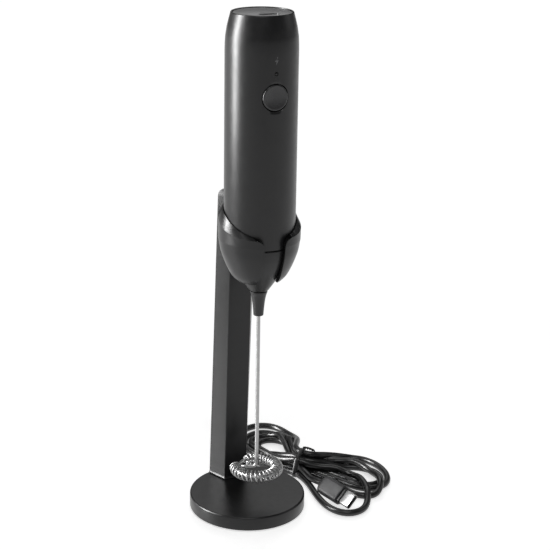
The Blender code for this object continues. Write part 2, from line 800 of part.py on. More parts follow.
def make_tie(finish_material):
    """A flat strap round the waist of the hank."""
    frame = along(TIE_CENTRE, TIE_AXIS, WAIST_SIDE)
    outer = rounded_box(WAIST_WIDTH + 1.7, WAIST_H + 1.7, 5.4)
    inner = rounded_box(WAIST_WIDTH + 0.6, WAIST_H + 0.6, 4.9)
    tie = finish("cable_tie", prism(outer, -TIE_HALF_WIDTH, TIE_HALF_WIDTH, frame), finish_material)
    boolean(tie, cutter("tie_inside", prism(inner, -3.0, 3.0, frame)))


def plug_frame(back, axis, roll=0.0):
    """Z along the plug towards its tip, X across its width, rolled about the plug's own axis."""
    level = axis.cross(UP) * -1
    across = level * math.cos(roll) + UP * math.sin(roll)
    return along(back, axis, across)


def grip(frame, sections, radius):
    """A plug's moulded grip through (distance, width, height) sections."""
    rings = []
    for z, width, height in sections:
        outline = rounded_box(width, height, min(height / 2 - 0.05, radius))
        rings.append([frame @ Vector((x, y, z)) for x, y in outline])
    return loft(rings)


def make_usb_c_plug(overmould, metal, plastic):
    frame = plug_frame(PLUG_BACK, PLUG_AXIS, PLUG_ROLL)
    sections = [(0, 4.4, 4.0), (1.6, 9.4, 5.4), (2.6, 10.4, 6.0), (16.6, 10.4, 6.0), (17.0, 9.6, 5.2)]
    finish("usb_c_overmould", grip(frame, sections, 2.6), overmould)
    collar = prism(stadium(9.0, 3.6), 17.3, 18.6, frame)
    finish("usb_c_collar", collar, plastic)
    shell = finish("usb_c_shell", prism(stadium(8.34, 2.56), 18.9, 25.4, frame), metal)
    boolean(shell, cutter("usb_c_mouth", prism(stadium(7.7, 1.92), 19.6, 27.0, frame)))


def make_usb_a_plug(overmould, metal, plastic):
    frame = plug_frame(A_PLUG_BACK, A_PLUG_AXIS)
    sections = [(0, 5.0, 4.6), (3.0, 12.4, 7.2), (4.4, 14.6, 7.8), (18.4, 14.6, 7.8), (19.0, 13.8, 7.0)]
    finish("usb_a_overmould", grip(frame, sections, 1.6), overmould)
    shell = finish("usb_a_shell", prism(rounded_box(12.0, 4.5, 0.5, 2), 19.3, 31.3, frame), metal)
    boolean(shell, cutter("usb_a_mouth", prism(rounded_box(11.3, 3.8, 0.3, 2), 20.0, 33.0, frame)))
    tongue = prism(rounded_box(10.5, 1.5, 0.3, 2), 20.3, 30.6, frame @ Matrix.Translation((0, 0.9, 0)))
    finish("usb_a_tongue", tongue, plastic)


def make_cable(mats):
    make_hank(mats["cable"])
    make_tie(mats["rubber"])
    cord_tube("cable_plug_lead", PLUG_LEAD, mats["cable"])
    cord_tube("cable_front_loop", FRONT_LOOP, mats["cable"])
    cord_tube("cable_tail", TAIL, mats["cable"])
    make_usb_c_plug(mats["overmould"], mats["steel"], mats["contact"])
    make_usb_a_plug(mats["overmould"], mats["steel"], mats["contact"])


# ---------------------------------------------------------------------- main


def make_stand(mats):
    make_base(mats["stand"])
    make_ballast(mats["zinc"])
    make_cover(mats["stand"])
    make_pad(mats["rubber"])
    make_post(mats["stand"])
    make_cradle(mats["stand"])
    make_screws(mats["zinc"])


def make_frother(mats):
    lift = empty("frother_axis", (0, AXIS_Y, 0))
    make_barrel(mats["handle"], lift)
    make_top_cap(mats["trim"], lift)
    make_charge_socket(mats["steel"], mats["contact"], lift)
    make_nose_cone(mats["handle"], lift)
    make_nozzle(mats["trim"], lift)
    make_bush(mats["brass"], lift)
    make_motor(mats["zinc"], mats["inner"], mats["rubber"], lift)
    make_chassis(mats["inner"], lift)
    make_battery(mats["cell"], lift)
    make_board(mats["board"], lift)
    make_switch(mats["contact"], mats["lens"], mats["lamp"], lift)
    make_rotor(mats["steel"], mats["brass"], empty("whisk_axis", (0, AXIS_Y, 0)))
    make_button(mats["trim"], empty("button_axis", (0, AXIS_Y - BARREL_R, BUTTON_Z)))


def main():
    clear_scene()
    mats = make_materials()
    make_stand(mats)
    make_frother(mats)
    make_cable(mats)


main()
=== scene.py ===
"""Looks for the cordless milk frother in its stand, with a tied USB charging cable.

Sizes are millimetres in the CAD's frame: the base's underside is at z = 0 and -Y is the front. Meshes are
scaled to metres.
"""

import json
import math

import bmesh
import bpy
import numpy as np
from mathutils import Matrix, Vector


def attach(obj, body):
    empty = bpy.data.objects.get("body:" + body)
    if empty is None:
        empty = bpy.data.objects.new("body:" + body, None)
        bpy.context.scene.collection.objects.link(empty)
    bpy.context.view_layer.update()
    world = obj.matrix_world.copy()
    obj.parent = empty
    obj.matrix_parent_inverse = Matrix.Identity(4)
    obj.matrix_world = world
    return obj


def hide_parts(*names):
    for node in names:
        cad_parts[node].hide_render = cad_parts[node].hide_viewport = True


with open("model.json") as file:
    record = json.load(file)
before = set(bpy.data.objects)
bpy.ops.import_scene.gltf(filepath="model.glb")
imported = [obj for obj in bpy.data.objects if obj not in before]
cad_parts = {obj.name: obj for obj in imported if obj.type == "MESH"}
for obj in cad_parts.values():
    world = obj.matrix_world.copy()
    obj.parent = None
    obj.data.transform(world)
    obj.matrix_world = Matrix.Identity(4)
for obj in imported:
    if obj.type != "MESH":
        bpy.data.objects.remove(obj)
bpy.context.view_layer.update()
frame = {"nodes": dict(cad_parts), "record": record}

MM = 0.001
UP = Vector((0, 0, 1))
BACK = Vector((0, 1, 0))

# Camera: place in metres, angles in radians, lens in millimetres, shift as a share of the frame
CAMERA_PLACE = (-0.2714, -0.6425, 0.3673)
CAMERA_YAW = 0.38622
CAMERA_PITCH = 0.30176
CAMERA_ROLL = 0.00682
CAMERA_LENS = 96.44
CAMERA_SHIFT = 0.08

# Frother, as in the CAD
AXIS_Y = -12.0
BARREL_R = 17.55
SEAM_Z = 148.5
SHOULDER_Z = 244.0
TOP_Z = 261.2
NOZZLE_SEAM_Z = 123.2
NOZZLE_TIP_Z = 110.2
BUTTON_Z = 223.3
BUTTON_R = 6.3
INDICATOR_Z = 234.6
ICON_Z = 240.6
USB_Y = -19.8
WHISK_Z = 26.7
WHISK_RING_R = 10.6
WHISK_COIL_R = 2.75
WHISK_WIRE_R = 0.4
WHISK_TURNS = 29

# Stand, as in the CAD
BASE_R = 30.0
BASE_H = 7.7
BASE_EDGE = 0.9
POST_FRONT_Y = 16.9
POST_FRONT_LEAN = 0.046
POST_BACK_Y = 28.1
POST_BACK_LEAN = 0.066
POST_FRONT_HALF = 6.0
POST_BACK_HALF = 10.75
POST_TOP_Z = 169.0
POST_TOP_ROUND = 4.0
SLOT_HALF = 5.4
SLOT_FLARE = 4.0
RIM_FRONT_Z = 154.6
RIM_BACK_Z = 169.0
BOWL_R = 20.2
BOWL_INNER_R = BARREL_R + 0.45

# Charging cable, as in the CAD
CABLE_R = 1.75
TIE_CENTRE = Vector((41.0, 23.6, 6.95))
TIE_AXIS = Vector((0.68, -0.733, 0)).normalized()
TIE_SIDE = UP.cross(TIE_AXIS)
PLUG_AXIS = Vector((0.229, -0.973, -0.01)).normalized()
PLUG_ROLL = math.radians(43.0)
PLUG_BACK = Vector((41.1, -4.5, 6.6))
A_PLUG_AXIS = Vector((0.385, 0.923, 0.0)).normalized()
A_PLUG_BACK = Vector((26.7, 89.3, 4.2))

# How the cable settles: gap between strands, sag per round, and the pull towards the route
STRAND_GAP = 0.08
SAG = 0.03
PULL = 0.012
PULL_IN_TIE = 0.14
PULL_AT_PLUGS = 50.0
ROUTE_STEPS = 6


# ------------------------------------------------------------------- camera


def make_camera():
    """Left of the front and above, with a small shift."""
    yaw, pitch, roll = CAMERA_YAW, CAMERA_PITCH, CAMERA_ROLL
    data = bpy.data.cameras.new("camera")
    data.sensor_width = 36.0
    data.lens = CAMERA_LENS
    data.shift_x = CAMERA_SHIFT
    data.shift_y = -CAMERA_SHIFT
    data.clip_start = 0.01
    camera = bpy.data.objects.new("camera", data)
    ahead = Vector((math.sin(yaw) * math.cos(pitch), math.cos(yaw) * math.cos(pitch), -math.sin(pitch)))
    right = Vector((math.cos(yaw), -math.sin(yaw), 0.0))
    up = right.cross(ahead)
    turned = math.cos(roll) * right + math.sin(roll) * up
    lifted = math.cos(roll) * up - math.sin(roll) * right
    basis = Matrix((turned, lifted, -ahead)).transposed().to_4x4()
    camera.matrix_world = Matrix.Translation(CAMERA_PLACE) @ basis
    bpy.context.scene.collection.objects.link(camera)
    bpy.context.scene.camera = camera


# ---------------------------------------------------------------- materials


class Look:
    """A procedural material: a Principled shader and the few nodes that vary it."""

    def __init__(self, name, colour, roughness, metallic=0.0):
        self.material = bpy.data.materials.new(name)
        self.material.use_nodes = True
        self.tree = self.material.node_tree
        self.shader = self.tree.nodes["Principled BSDF"]
        self.shader.inputs["Metallic"].default_value = metallic
        self.place = self.tree.nodes.new("ShaderNodeTexCoord").outputs["Object"]
        self.colour = colour
        self.roughness = roughness
        self.height = None

    def link(self, output, socket):
        self.tree.links.new(output, socket)

    def stretched(self, scale, centre=(0, 0, 0)):
        """Object coordinates scaled along each axis, from a centre in millimetres."""
        node = self.tree.nodes.new("ShaderNodeMapping")
        node.inputs["Location"].default_value = [-c * MM * s for c, s in zip(centre, scale)]
        node.inputs["Scale"].default_value = scale
        self.link(self.place, node.inputs["Vector"])
        return node.outputs["Vector"]

    def noise(self, size_mm, detail=3.0, vector=None):
        node = self.tree.nodes.new("ShaderNodeTexNoise")
        node.inputs["Scale"].default_value = 1.0 / (size_mm * MM)
        node.inputs["Detail"].default_value = detail
        self.link(vector or self.place, node.inputs["Vector"])
        return node.outputs["Fac"]

    def ramp(self, fac, low, high):
        """Maps 0..1 to the range low..high."""
        node = self.tree.nodes.new("ShaderNodeMapRange")
        node.inputs["From Min"].default_value = 0.3
        node.inputs["From Max"].default_value = 0.7
        node.inputs["To Min"].default_value = low
        node.inputs["To Max"].default_value = high
        self.link(fac, node.inputs["Value"])
        return node.outputs["Result"]

    def vary_colour(self, fac, spread):
        """The base colour, lighter and darker by a share."""
        node = self.tree.nodes.new("ShaderNodeMix")
        node.data_type = "RGBA"
        node.inputs["A"].default_value = (*[c * (1 - spread) for c in self.colour], 1)
        node.inputs["B"].default_value = (*[min(1.0, c * (1 + spread)) for c in self.colour], 1)
        self.link(self.ramp(fac, 0.0, 1.0), node.inputs["Factor"])
        self.link(node.outputs["Result"], self.shader.inputs["Base Color"])
        return self

    def vary_roughness(self, fac, spread):
        low = self.roughness - spread
        high = self.roughness + spread
        self.link(self.ramp(fac, low, high), self.shader.inputs["Roughness"])
        return self

    def bump(self, fac, depth_mm):
        node = self.tree.nodes.new("ShaderNodeBump")
        node.inputs["Distance"].default_value = depth_mm * MM
        self.link(fac, node.inputs["Height"])
        if self.height:
            self.link(self.height, node.inputs["Normal"])
        self.height = node.outputs["Normal"]
        self.link(self.height, self.shader.inputs["Normal"])
        return self

    def rings(self, pitch_mm, centre, axis):
        """Fine turned rings round a centre, for a spun finish."""
        wave = self.tree.nodes.new("ShaderNodeTexWave")
        wave.wave_type = "RINGS"
        wave.rings_direction = axis
        wave.inputs["Scale"].default_value = 0.314 / pitch_mm
        wave.inputs["Distortion"].default_value = 0.3
        self.link(self.stretched((1000, 1000, 1000), centre), wave.inputs["Vector"])
        return wave.outputs["Fac"]


def moulded(name, colour, roughness, grain=0.35, depth=0.006):
    """Moulded plastic: a fine spark-eroded grain, slight flow marks and uneven gloss."""
    look = Look(name, colour, roughness)
    look.shader.inputs["Specular IOR Level"].default_value = 0.36
    look.vary_colour(look.noise(9.0, 4), 0.10)
    look.vary_roughness(look.noise(3.5, 5), 0.035)
    look.bump(look.noise(grain, 2), depth)
    return look


def drawn_steel(name, colour, roughness, along=(1, 1, 0.04)):
    """Steel with fine drawing marks, which run along one direction."""
    look = Look(name, colour, roughness, 1.0)
    marks = look.noise(0.25, 4, look.stretched(along))
    look.vary_colour(look.noise(2.5, 4), 0.08)
    look.vary_roughness(marks, 0.06)
    return look


def turned_metal(name, colour, roughness, centre=(0, AXIS_Y, 0)):
    """Metal with turning marks round the Z axis."""
    look = Look(name, colour, roughness, 1.0)
    marks = look.noise(0.3, 3, look.stretched((0.05, 0.05, 1.0), centre))
    look.vary_colour(look.noise(4.0, 4), 0.12)
    look.vary_roughness(marks, 0.07)
    look.bump(marks, 0.005)
    return look


def plated(name):
    """Zinc plate: cloudy and slightly blue."""
    look = Look(name, (0.55, 0.56, 0.58), 0.36, 1.0)
    look.vary_colour(look.noise(1.6, 6), 0.16)
    look.vary_roughness(look.noise(0.7, 5), 0.08)
    look.bump(look.noise(0.4, 3), 0.004)
    return look


def board_green(name):
    """Solder mask with faint copper tracks under it."""
    look = Look(name, (0.02, 0.17, 0.07), 0.35)
    brick = look.tree.nodes.new("ShaderNodeTexBrick")
    brick.inputs["Scale"].default_value = 240.0
    brick.inputs["Mortar Size"].default_value = 0.03
    brick.inputs["Color1"].default_value = (0.2, 0.2, 0.2, 1)
    brick.inputs["Color2"].default_value = (0.45, 0.45, 0.45, 1)
    brick.inputs["Mortar"].default_value = (0.9, 0.9, 0.9, 1)
    look.link(look.stretched((1, 0, 1)), brick.inputs["Vector"])
    look.vary_colour(brick.outputs["Color"], 0.35)
    look.vary_roughness(look.noise(1.5, 3), 0.05)
    look.bump(brick.outputs["Fac"], -0.02)
    return look


def spun_button(name):
    """Dark plastic whose dished face carries fine spun rings."""
    look = Look(name, (0.016, 0.016, 0.017), 0.30)
    look.vary_colour(look.noise(5.0, 3), 0.15)
    look.vary_roughness(look.noise(2.0, 4), 0.04)
    look.bump(look.rings(0.22, (0, -29.5, BUTTON_Z), "Y"), 0.010)
    look.bump(look.noise(0.3, 2), 0.004)
    return look


def sheath(name):
    """Glossy cable sheath with faint extrusion waves and dust."""
    look = Look(name, (0.008, 0.008, 0.0085), 0.32)
    look.vary_colour(look.noise(6.0, 5), 0.25)
    look.vary_roughness(look.noise(1.2, 6), 0.06)
    look.bump(look.noise(0.6, 2), 0.002)
    return look


def wrapped_cell(name):
    """Shrink wrap over a cell: glossy, with soft wrinkles."""
    look = Look(name, (0.07, 0.22, 0.48), 0.28)
    look.vary_colour(look.noise(12.0, 3), 0.10)
    look.vary_roughness(look.noise(3.0, 4), 0.05)
    look.bump(look.noise(3.0, 3, look.stretched((1, 1, 0.3))), 0.05)
    return look


def make_looks():
    """One material for each slot in the record."""
    looks = {
        "handle_plastic": moulded("handle_plastic", (0.007, 0.007, 0.0075), 0.34),
        "stand_plastic": moulded("stand_plastic", (0.006, 0.006, 0.0065), 0.33),
        "trim_plastic": moulded("trim_plastic", (0.020, 0.020, 0.021), 0.34, 0.3, 0.004),
        # cap_plastic's light grey is a painted reflection: the black cap's colour is raised to stand in for
        # the top light reflected in it
        "cap_plastic": moulded("cap_plastic", (0.13, 0.13, 0.132), 0.36, 0.3, 0.004),
        "inner_plastic": moulded("inner_plastic", (0.50, 0.50, 0.48), 0.5, 0.6, 0.01),
        "rubber": moulded("rubber", (0.020, 0.020, 0.020), 0.78, 0.5, 0.02),
        "stainless_steel": drawn_steel("stainless_steel", (0.36, 0.36, 0.36), 0.34),
        "zinc_steel": plated("zinc_steel"),
        "brass": turned_metal("brass", (0.72, 0.52, 0.22), 0.30),
        "circuit_board": board_green("circuit_board"),
        "battery_wrap": wrapped_cell("battery_wrap"),
        "smoked_lens": moulded("smoked_lens", (0.006, 0.006, 0.006), 0.12, 0.5, 0.002),
        "lamp_resin": moulded("lamp_resin", (0.75, 0.75, 0.72), 0.25, 0.5, 0.002),
        "cable_sheath": sheath("cable_sheath"),
        "plug_overmould": moulded("plug_overmould", (0.036, 0.036, 0.038), 0.50, 0.28, 0.02),
        "contact_plastic": moulded("contact_plastic", (0.010, 0.010, 0.010), 0.42, 0.3, 0.004),
        "spun_button": spun_button("spun_button"),
        "icon_print": moulded("icon_print", (0.075, 0.075, 0.078), 0.45, 0.2, 0.002),
        "gold_contact": turned_metal("gold_contact", (0.83, 0.62, 0.25), 0.25),
    }
    return {name: look.material for name, look in looks.items()}


# ------------------------------------------------------------ shape helpers


def finish(name, bm, look, body, stands_for=(), smooth=35.0):
    """Makes a piece of a bmesh in world millimetres, on its body and standing for its CAD nodes."""
    bmesh.ops.remove_doubles(bm, verts=bm.verts, dist=0.0005)
    bmesh.ops.recalc_face_normals(bm, faces=bm.faces)
    bmesh.ops.scale(bm, verts=bm.verts, vec=(MM, MM, MM))
    mesh = bpy.data.meshes.new(name)
    bm.to_mesh(mesh)
    bm.free()
    obj = bpy.data.objects.new(name, mesh)
    bpy.context.scene.collection.objects.link(obj)
    mesh.materials.append(look)
    mesh.shade_smooth()
    mesh.set_sharp_from_angle(angle=math.radians(smooth))
    if body:
        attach(obj, body)
    if stands_for:
        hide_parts(*stands_for)
    return obj


def tool(bm):
    """A cutter, removed after use."""
    return finish("cutter", bm, None, None)


def bevelled(obj, width, segments=3, angle=40.0, smooth=35.0):
    """Rounds the piece's sharp edges."""
    step = obj.modifiers.new("bevel", "BEVEL")
    step.width = width * MM
    step.segments = segments
    step.limit_method = "ANGLE"
    step.angle_limit = math.radians(angle)
    step.harden_normals = False
    return baked(obj, smooth)


def baked(obj, smooth=35.0):
    """Applies the piece's modifiers to its mesh."""
    bpy.context.view_layer.update()
    graph = bpy.context.evaluated_depsgraph_get()
    mesh = bpy.data.meshes.new_from_object(obj.evaluated_get(graph))
    obj.modifiers.clear()
    obj.data = mesh
    mesh.shade_smooth()
    mesh.set_sharp_from_angle(angle=math.radians(smooth))
    return obj


def cut(obj, *shapes, smooth=35.0):
    """Cuts each shape out of the piece."""
    helpers = [tool(shape) for shape in shapes]
    for helper in helpers:
        step = obj.modifiers.new("cut", "BOOLEAN")
        step.solver = "EXACT"
        step.object = helper
    baked(obj, smooth)
    for helper in helpers:
        bpy.data.objects.remove(helper)
    return obj


def loft(rings, closed=False, capped=True):
    """A surface through rings of equally many points."""
    bm = bmesh.new()
    made = [[bm.verts.new(p) for p in ring] for ring in rings]
    count = len(rings[0])
    pairs = list(zip(made, made[1:]))
    if closed:
        pairs.append((made[-1], made[0]))
    for low, high in pairs:
        for i in range(count):
            j = (i + 1) % count
            bm.faces.new((low[i], low[j], high[j], high[i]))
    if capped and not closed:
        bm.faces.new(made[0])
        bm.faces.new(made[-1])
    return bm


def lathe(profile, frame_of=None, centre=(0.0, 0.0), segments=96, closed=False):
    """A turned solid of (radius, height) points, from axis to axis or as a closed ring around a bore."""
    bm = bmesh.new()
    rings = []
    for radius, height in profile:
        if radius < 1e-6:
            rings.append([bm.verts.new((0, 0, height))])
            continue
        turns = [2 * math.pi * i / segments for i in range(segments)]
        rings.append([bm.verts.new((radius * math.cos(t), radius * math.sin(t), height)) for t in turns])
    pairs = list(zip(rings, rings[1:]))
    if closed:
        pairs.append((rings[-1], rings[0]))
    for a, b in pairs:
        for i in range(segments):
            j = (i + 1) % segments
            corners = (a[i % len(a)], a[j % len(a)], b[j % len(b)], b[i % len(b)])
            unique = list(dict.fromkeys(corners))
            if len(unique) > 2:
                bm.faces.new(unique)
    place = frame_of or Matrix.Translation((centre[0], centre[1], 0))
    bmesh.ops.transform(bm, matrix=place, verts=bm.verts)
    return bm


def on_axis(profile, segments=128, closed=False):
    return lathe(profile, centre=(0, AXIS_Y), segments=segments, closed=closed)


def along(start, direction, across=None):
    """A frame at start whose Z points along direction, and whose X is nearest to across."""
    z = Vector(direction).normalized()
    guide = Vector(across) if across else (UP if abs(z.z) < 0.9 else Vector((1, 0.13, 0)))
    x = (guide - z * guide.dot(z)).normalized()
    turn = Matrix((x, z.cross(x), z)).transposed().to_4x4()
    return Matrix.Translation(start) @ turn


def rod(start, direction, steps, segments=48):
    """A stepped pin from start: steps are (radius, distance) pairs along direction."""
    profile = [(0, steps[0][1])] + list(steps) + [(0, steps[-1][1])]
    return lathe(profile, along(start, direction), segments=segments)


def prism(outline, bottom, top, place=None):
    """An outline of (x, y) points extruded along Z."""
    bm = loft([[(x, y, z) for x, y in outline] for z in (bottom, top)])
    if place:
        bmesh.ops.transform(bm, matrix=place, verts=bm.verts)
    return bm


def stadium(width, height, steps=16):
    """A slot outline with round ends."""
    end = height / 2
    reach = width / 2 - end
    outline = []
    for side in (1, -1):
        for i in range(steps + 1):
            turn = math.pi * (i / steps - 0.5)
            outline.append((side * (reach + end * math.cos(turn)), side * end * math.sin(turn)))
    return outline


def rounded_box(width, height, radius, steps=8):
    """A rectangle outline with round corners."""
    outline = []
    for sx, sy, start in ((1, 1, 0), (-1, 1, 90), (-1, -1, 180), (1, -1, 270)):
        for i in range(steps + 1):
            turn = math.radians(start + 90 * i / steps)
            x = sx * (width / 2 - radius) + radius * math.cos(turn)
            y = sy * (height / 2 - radius) + radius * math.sin(turn)
            outline.append((x, y))
    return outline


def smooth_line(points, per_span):
    """Points on a smooth curve through the given ones (Catmull-Rom)."""
    points = [Vector(p) for p in points]
    last = len(points) - 1
    line = []
    for i in range(last):
        a, b, c, d = (points[min(max(i + k, 0), last)] for k in (-1, 0, 1, 2))
        for k in range(per_span):
            t = k / per_span
            blend = 2 * b + (c - a) * t
            blend += (2 * a - 5 * b + 4 * c - d) * t * t
            blend += (3 * b - a - 3 * c + d) * t * t * t
            line.append(blend / 2)
    line.append(points[-1])
    return line


def smooth_profile(points, per_span=4):
    """A (radius, height) profile made smooth."""
    return [(p.x, p.y) for p in smooth_line([(r, z, 0) for r, z in points], per_span)]


def sweep(line, radius, sides, closed=False):
    """A round wire along a line of points."""
    line = [Vector(p) for p in line]
    count = len(line)
    rings = []
    side = None
    for i, point in enumerate(line):
        if closed:
            ahead = (line[(i + 1) % count] - line[i - 1]).normalized()
        else:
            ahead = (line[min(i + 1, count - 1)] - line[max(i - 1, 0)]).normalized()
        side = side or ahead.orthogonal().normalized()
        side = (side - ahead * side.dot(ahead)).normalized()
        other = ahead.cross(side)
        turns = [2 * math.pi * k / sides for k in range(sides)]
        rings.append([point + radius * (side * math.cos(t) + other * math.sin(t)) for t in turns])
    return loft(rings, closed)


def merged(*parts):
    """One bmesh holding all the given ones."""
    whole = parts[0]
    for part in parts[1:]:
        mesh = bpy.data.meshes.new("part")
        part.to_mesh(mesh)
        part.free()
        whole.from_mesh(mesh)
        bpy.data.meshes.remove(mesh)
    return whole


# -------------------------------------------------------------------- cable


def at_tie(ahead, side, z):
    """A point near the tie: along the bundle, across it, and its height."""
    place = TIE_CENTRE + ahead * TIE_AXIS + side * TIE_SIDE
    return (place.x, place.y, z)


# The nine strands in the tie: (across, height). Outs lie on top of returns.
LEAD = (-1.8, 5.45)
OUT_1, OUT_2, OUT_3, OUT_4 = (1.8, 11.5), (3.55, 8.5), (0.0, 8.5), (-3.55, 8.5)
BACK_1, BACK_2, BACK_3, BACK_4 = (3.55, 2.4), (0.0, 2.4), (1.8, 5.45), (-3.55, 2.4)

PLUG_LEAD = [
    (41.02, -4.2, 6.6),
    (40.2, -0.8, 6.3),
    (38.7, 5.0, 5.7),
    (37.6, 11.5, 5.4),
    (37.9, 17.5, 5.4),
]
LEFT_SECOND = [
    (37.6, 28.6, 5.1),
    (34.4, 33.6, 4.4),
    (30.4, 40.0, 3.0),
    (27.0, 47.5, 2.0),
    (25.6, 56.0, 1.85),
    (26.6, 64.5, 1.85),
    (30.2, 71.6, 1.85),
    (36.2, 75.6, 1.85),
    (42.0, 74.6, 2.2),
    (46.0, 69.0, 3.8),
    (47.9, 60.5, 5.6),
    (47.9, 51.0, 7.2),
    (47.3, 42.0, 8.6),
    (44.6, 32.4, 9.0),
]
RIGHT_SECOND = [
    (47.6, 21.6, 8.9),
    (55.2, 22.2, 8.5),
    (64.0, 21.8, 7.4),
    (69.3, 17.2, 6.3),
    (72.4, 10.2, 5.6),
    (73.4, 2.0, 5.4),
    (72.4, -6.4, 5.4),
    (70.2, -13.2, 5.0),
    (66.0, -18.6, 3.0),
    (60.8, -19.8, 1.9),
    (57.0, -16.0, 1.85),
    (55.2, -8.6, 1.85),
    (53.6, 0.0, 1.85),
    (50.8, 8.0, 1.85),
    (46.4, 15.5, 2.0),
]
LEFT_FIRST = [
    (37.0, 27.6, 2.2),
    (33.4, 31.4, 1.9),
    (29.4, 36.4, 1.85),
    (25.4, 43.4, 1.85),
    (22.6, 51.5, 1.85),
    (21.8, 60.5, 1.85),
    (23.4, 69.4, 1.85),
    (27.6, 76.8, 1.85),
    (34.4, 82.0, 1.85),
    (41.5, 84.3, 1.85),
    (46.8, 83.2, 2.2),
    (50.3, 78.6, 3.2),
    (51.9, 71.5, 4.6),
    (52.0, 62.0, 6.2),
    (51.1, 52.0, 7.8),
    (48.4, 42.0, 9.4),
    (44.0, 33.2, 10.8),
]
RIGHT_FIRST = [
    (47.4, 20.6, 11.0),
    (55.0, 22.8, 9.4),
    (63.0, 27.2, 7.1),
    (70.3, 28.2, 5.4),
    (75.8, 25.0, 4.1),
    (80.1, 19.6, 2.9),
    (82.3, 11.4, 2.1),
    (81.8, 2.8, 1.85),
    (79.2, -5.4, 1.85),
    (74.0, -11.2, 1.85),
    (67.3, -12.8, 1.85),
    (61.8, -9.2, 1.85),
    (59.0, -2.2, 1.85),
    (56.8, 5.0, 1.85),
    (53.6, 12.0, 1.85),
    (49.6, 18.4, 2.0),
]
LEFT_FOURTH = [
    (43.8, 33.0, 2.2),
    (45.8, 41.0, 1.85),
    (48.6, 48.4, 1.85),
    (49.0, 55.0, 1.85),
    (45.8, 61.0, 1.85),
    (39.6, 63.8, 1.85),
    (33.2, 61.8, 1.85),
    (29.8, 56.4, 2.0),
    (29.6, 50.4, 2.8),
    (31.4, 45.2, 4.4),
    (34.6, 40.2, 5.8),
    (38.4, 35.0, 7.2),
]
RIGHT_THIRD = [
    (47.0, 21.0, 7.9),
    (53.0, 21.2, 7.1),
    (59.5, 20.6, 6.0),
    (66.0, 18.4, 4.4),
    (71.4, 14.6, 2.9),
    (75.0, 9.0, 2.0),
    (77.6, 2.4, 1.85),
    (76.6, -3.8, 1.85),
    (72.2, -8.2, 1.85),
    (66.2, -8.0, 1.85),
    (62.8, -2.8, 1.85),
    (61.6, 5.8, 1.85),
    (59.2, 11.8, 2.0),
    (55.2, 16.4, 3.0),
    (50.0, 20.4, 4.2),
]
LEFT_THIRD = [
    (43.6, 32.0, 5.8),
    (45.8, 40.5, 5.5),
    (46.4, 49.5, 5.2),
    (45.8, 58.0, 4.0),
    (42.4, 66.6, 2.4),
    (36.0, 69.6, 1.85),
    (29.8, 66.8, 2.4),
    (26.2, 60.0, 3.8),
    (26.2, 52.6, 5.0),
    (28.6, 45.6, 5.6),
    (32.2, 38.6, 6.6),
    (35.6, 31.6, 7.6),
]
FRONT_LOOP = [
    (42.8, 18.0, 7.4),
    (48.2, 17.0, 6.5),
    (53.8, 14.8, 6.2),
    (59.0, 11.2, 6.1),
    (62.6, 5.4, 5.9),
    (63.9, -1.5, 5.6),
    (62.9, -9.7, 5.4),
    (60.2, -18.5, 5.3),
    (56.3, -25.6, 3.8),
    (51.6, -30.6, 2.5),
    (46.4, -33.4, 1.9),
    (41.4, -32.8, 1.85),
    (39.2, -26.6, 1.85),
    (38.2, -19.0, 1.85),
    (37.0, -11.0, 1.85),
    (36.8, -2.0, 1.85),
    (38.0, 6.0, 1.85),
    (38.6, 13.0, 1.85),
]
TAIL = [
    (35.0, 24.4, 2.0),
    (31.2, 28.2, 1.85),
    (26.8, 33.2, 1.85),
    (22.4, 40.0, 1.85),
    (19.4, 48.0, 1.85),
    (18.2, 57.0, 1.85),
    (18.6, 66.0, 1.85),
    (20.0, 74.0, 2.2),
    (22.2, 81.0, 3.2),
    (24.6, 85.6, 4.0),
    (26.58, 89.02, 4.2),
]
ROUTE = [
    (PLUG_LEAD, LEAD),
    (LEFT_SECOND, OUT_2),
    (RIGHT_SECOND, BACK_2),
    (LEFT_FIRST, OUT_1),
    (RIGHT_FIRST, BACK_1),
    (LEFT_FOURTH, OUT_3),
    (RIGHT_THIRD, BACK_3),
    (LEFT_THIRD, OUT_4),
    (FRONT_LOOP, BACK_4),
    (TAIL, None),
]


def evenly(points, step):
    """The same line with evenly spaced points, and how far along the given ones lie."""
    points = np.array([tuple(p) for p in points])
    run = np.concatenate([[0], np.cumsum(np.linalg.norm(np.diff(points, axis=0), axis=1))])
    at = np.linspace(0, run[-1], int(run[-1] / step) + 1)
    return np.stack([np.interp(at, run, points[:, k]) for k in range(3)], 1), run


def settle(line, pull, stiffness, rounds):
    """Lets the cable settle: strands push apart, bends even out, and it sags no lower than the floor."""
    home = line.copy()
    count = len(line)
    rest = np.linalg.norm(np.diff(line, axis=0), axis=1)
    index = np.arange(count)
    apart = np.abs(index[:, None] - index[None, :]) * rest.mean() > 6 * CABLE_R
    bend = np.diff(np.eye(count), 2, axis=0)
    ease = np.linalg.inv(np.eye(count) + stiffness * bend.T @ bend + np.diag(pull))
    for _ in range(rounds):
        gap = line[:, None, :] - line[None, :, :]
        distance = np.sqrt((gap**2).sum(2)) + 1e-9
        press = np.where(apart, np.clip(2 * CABLE_R + STRAND_GAP - distance, 0, None), 0) / distance
        line = line + np.clip(0.4 * (gap * press[:, :, None]).sum(1), -0.8, 0.8)
        line[:, 2] -= SAG
        line = ease @ (line + pull[:, None] * home)
        for _ in range(4):
            span = np.diff(line, axis=0)
            length = np.linalg.norm(span, axis=1, keepdims=True)
            fix = 0.25 * span * (1 - rest[:, None] / length)
            line[:-1] += fix
            line[1:] -= fix
        line[:, 2] = np.maximum(line[:, 2], CABLE_R + STRAND_GAP)
    return line


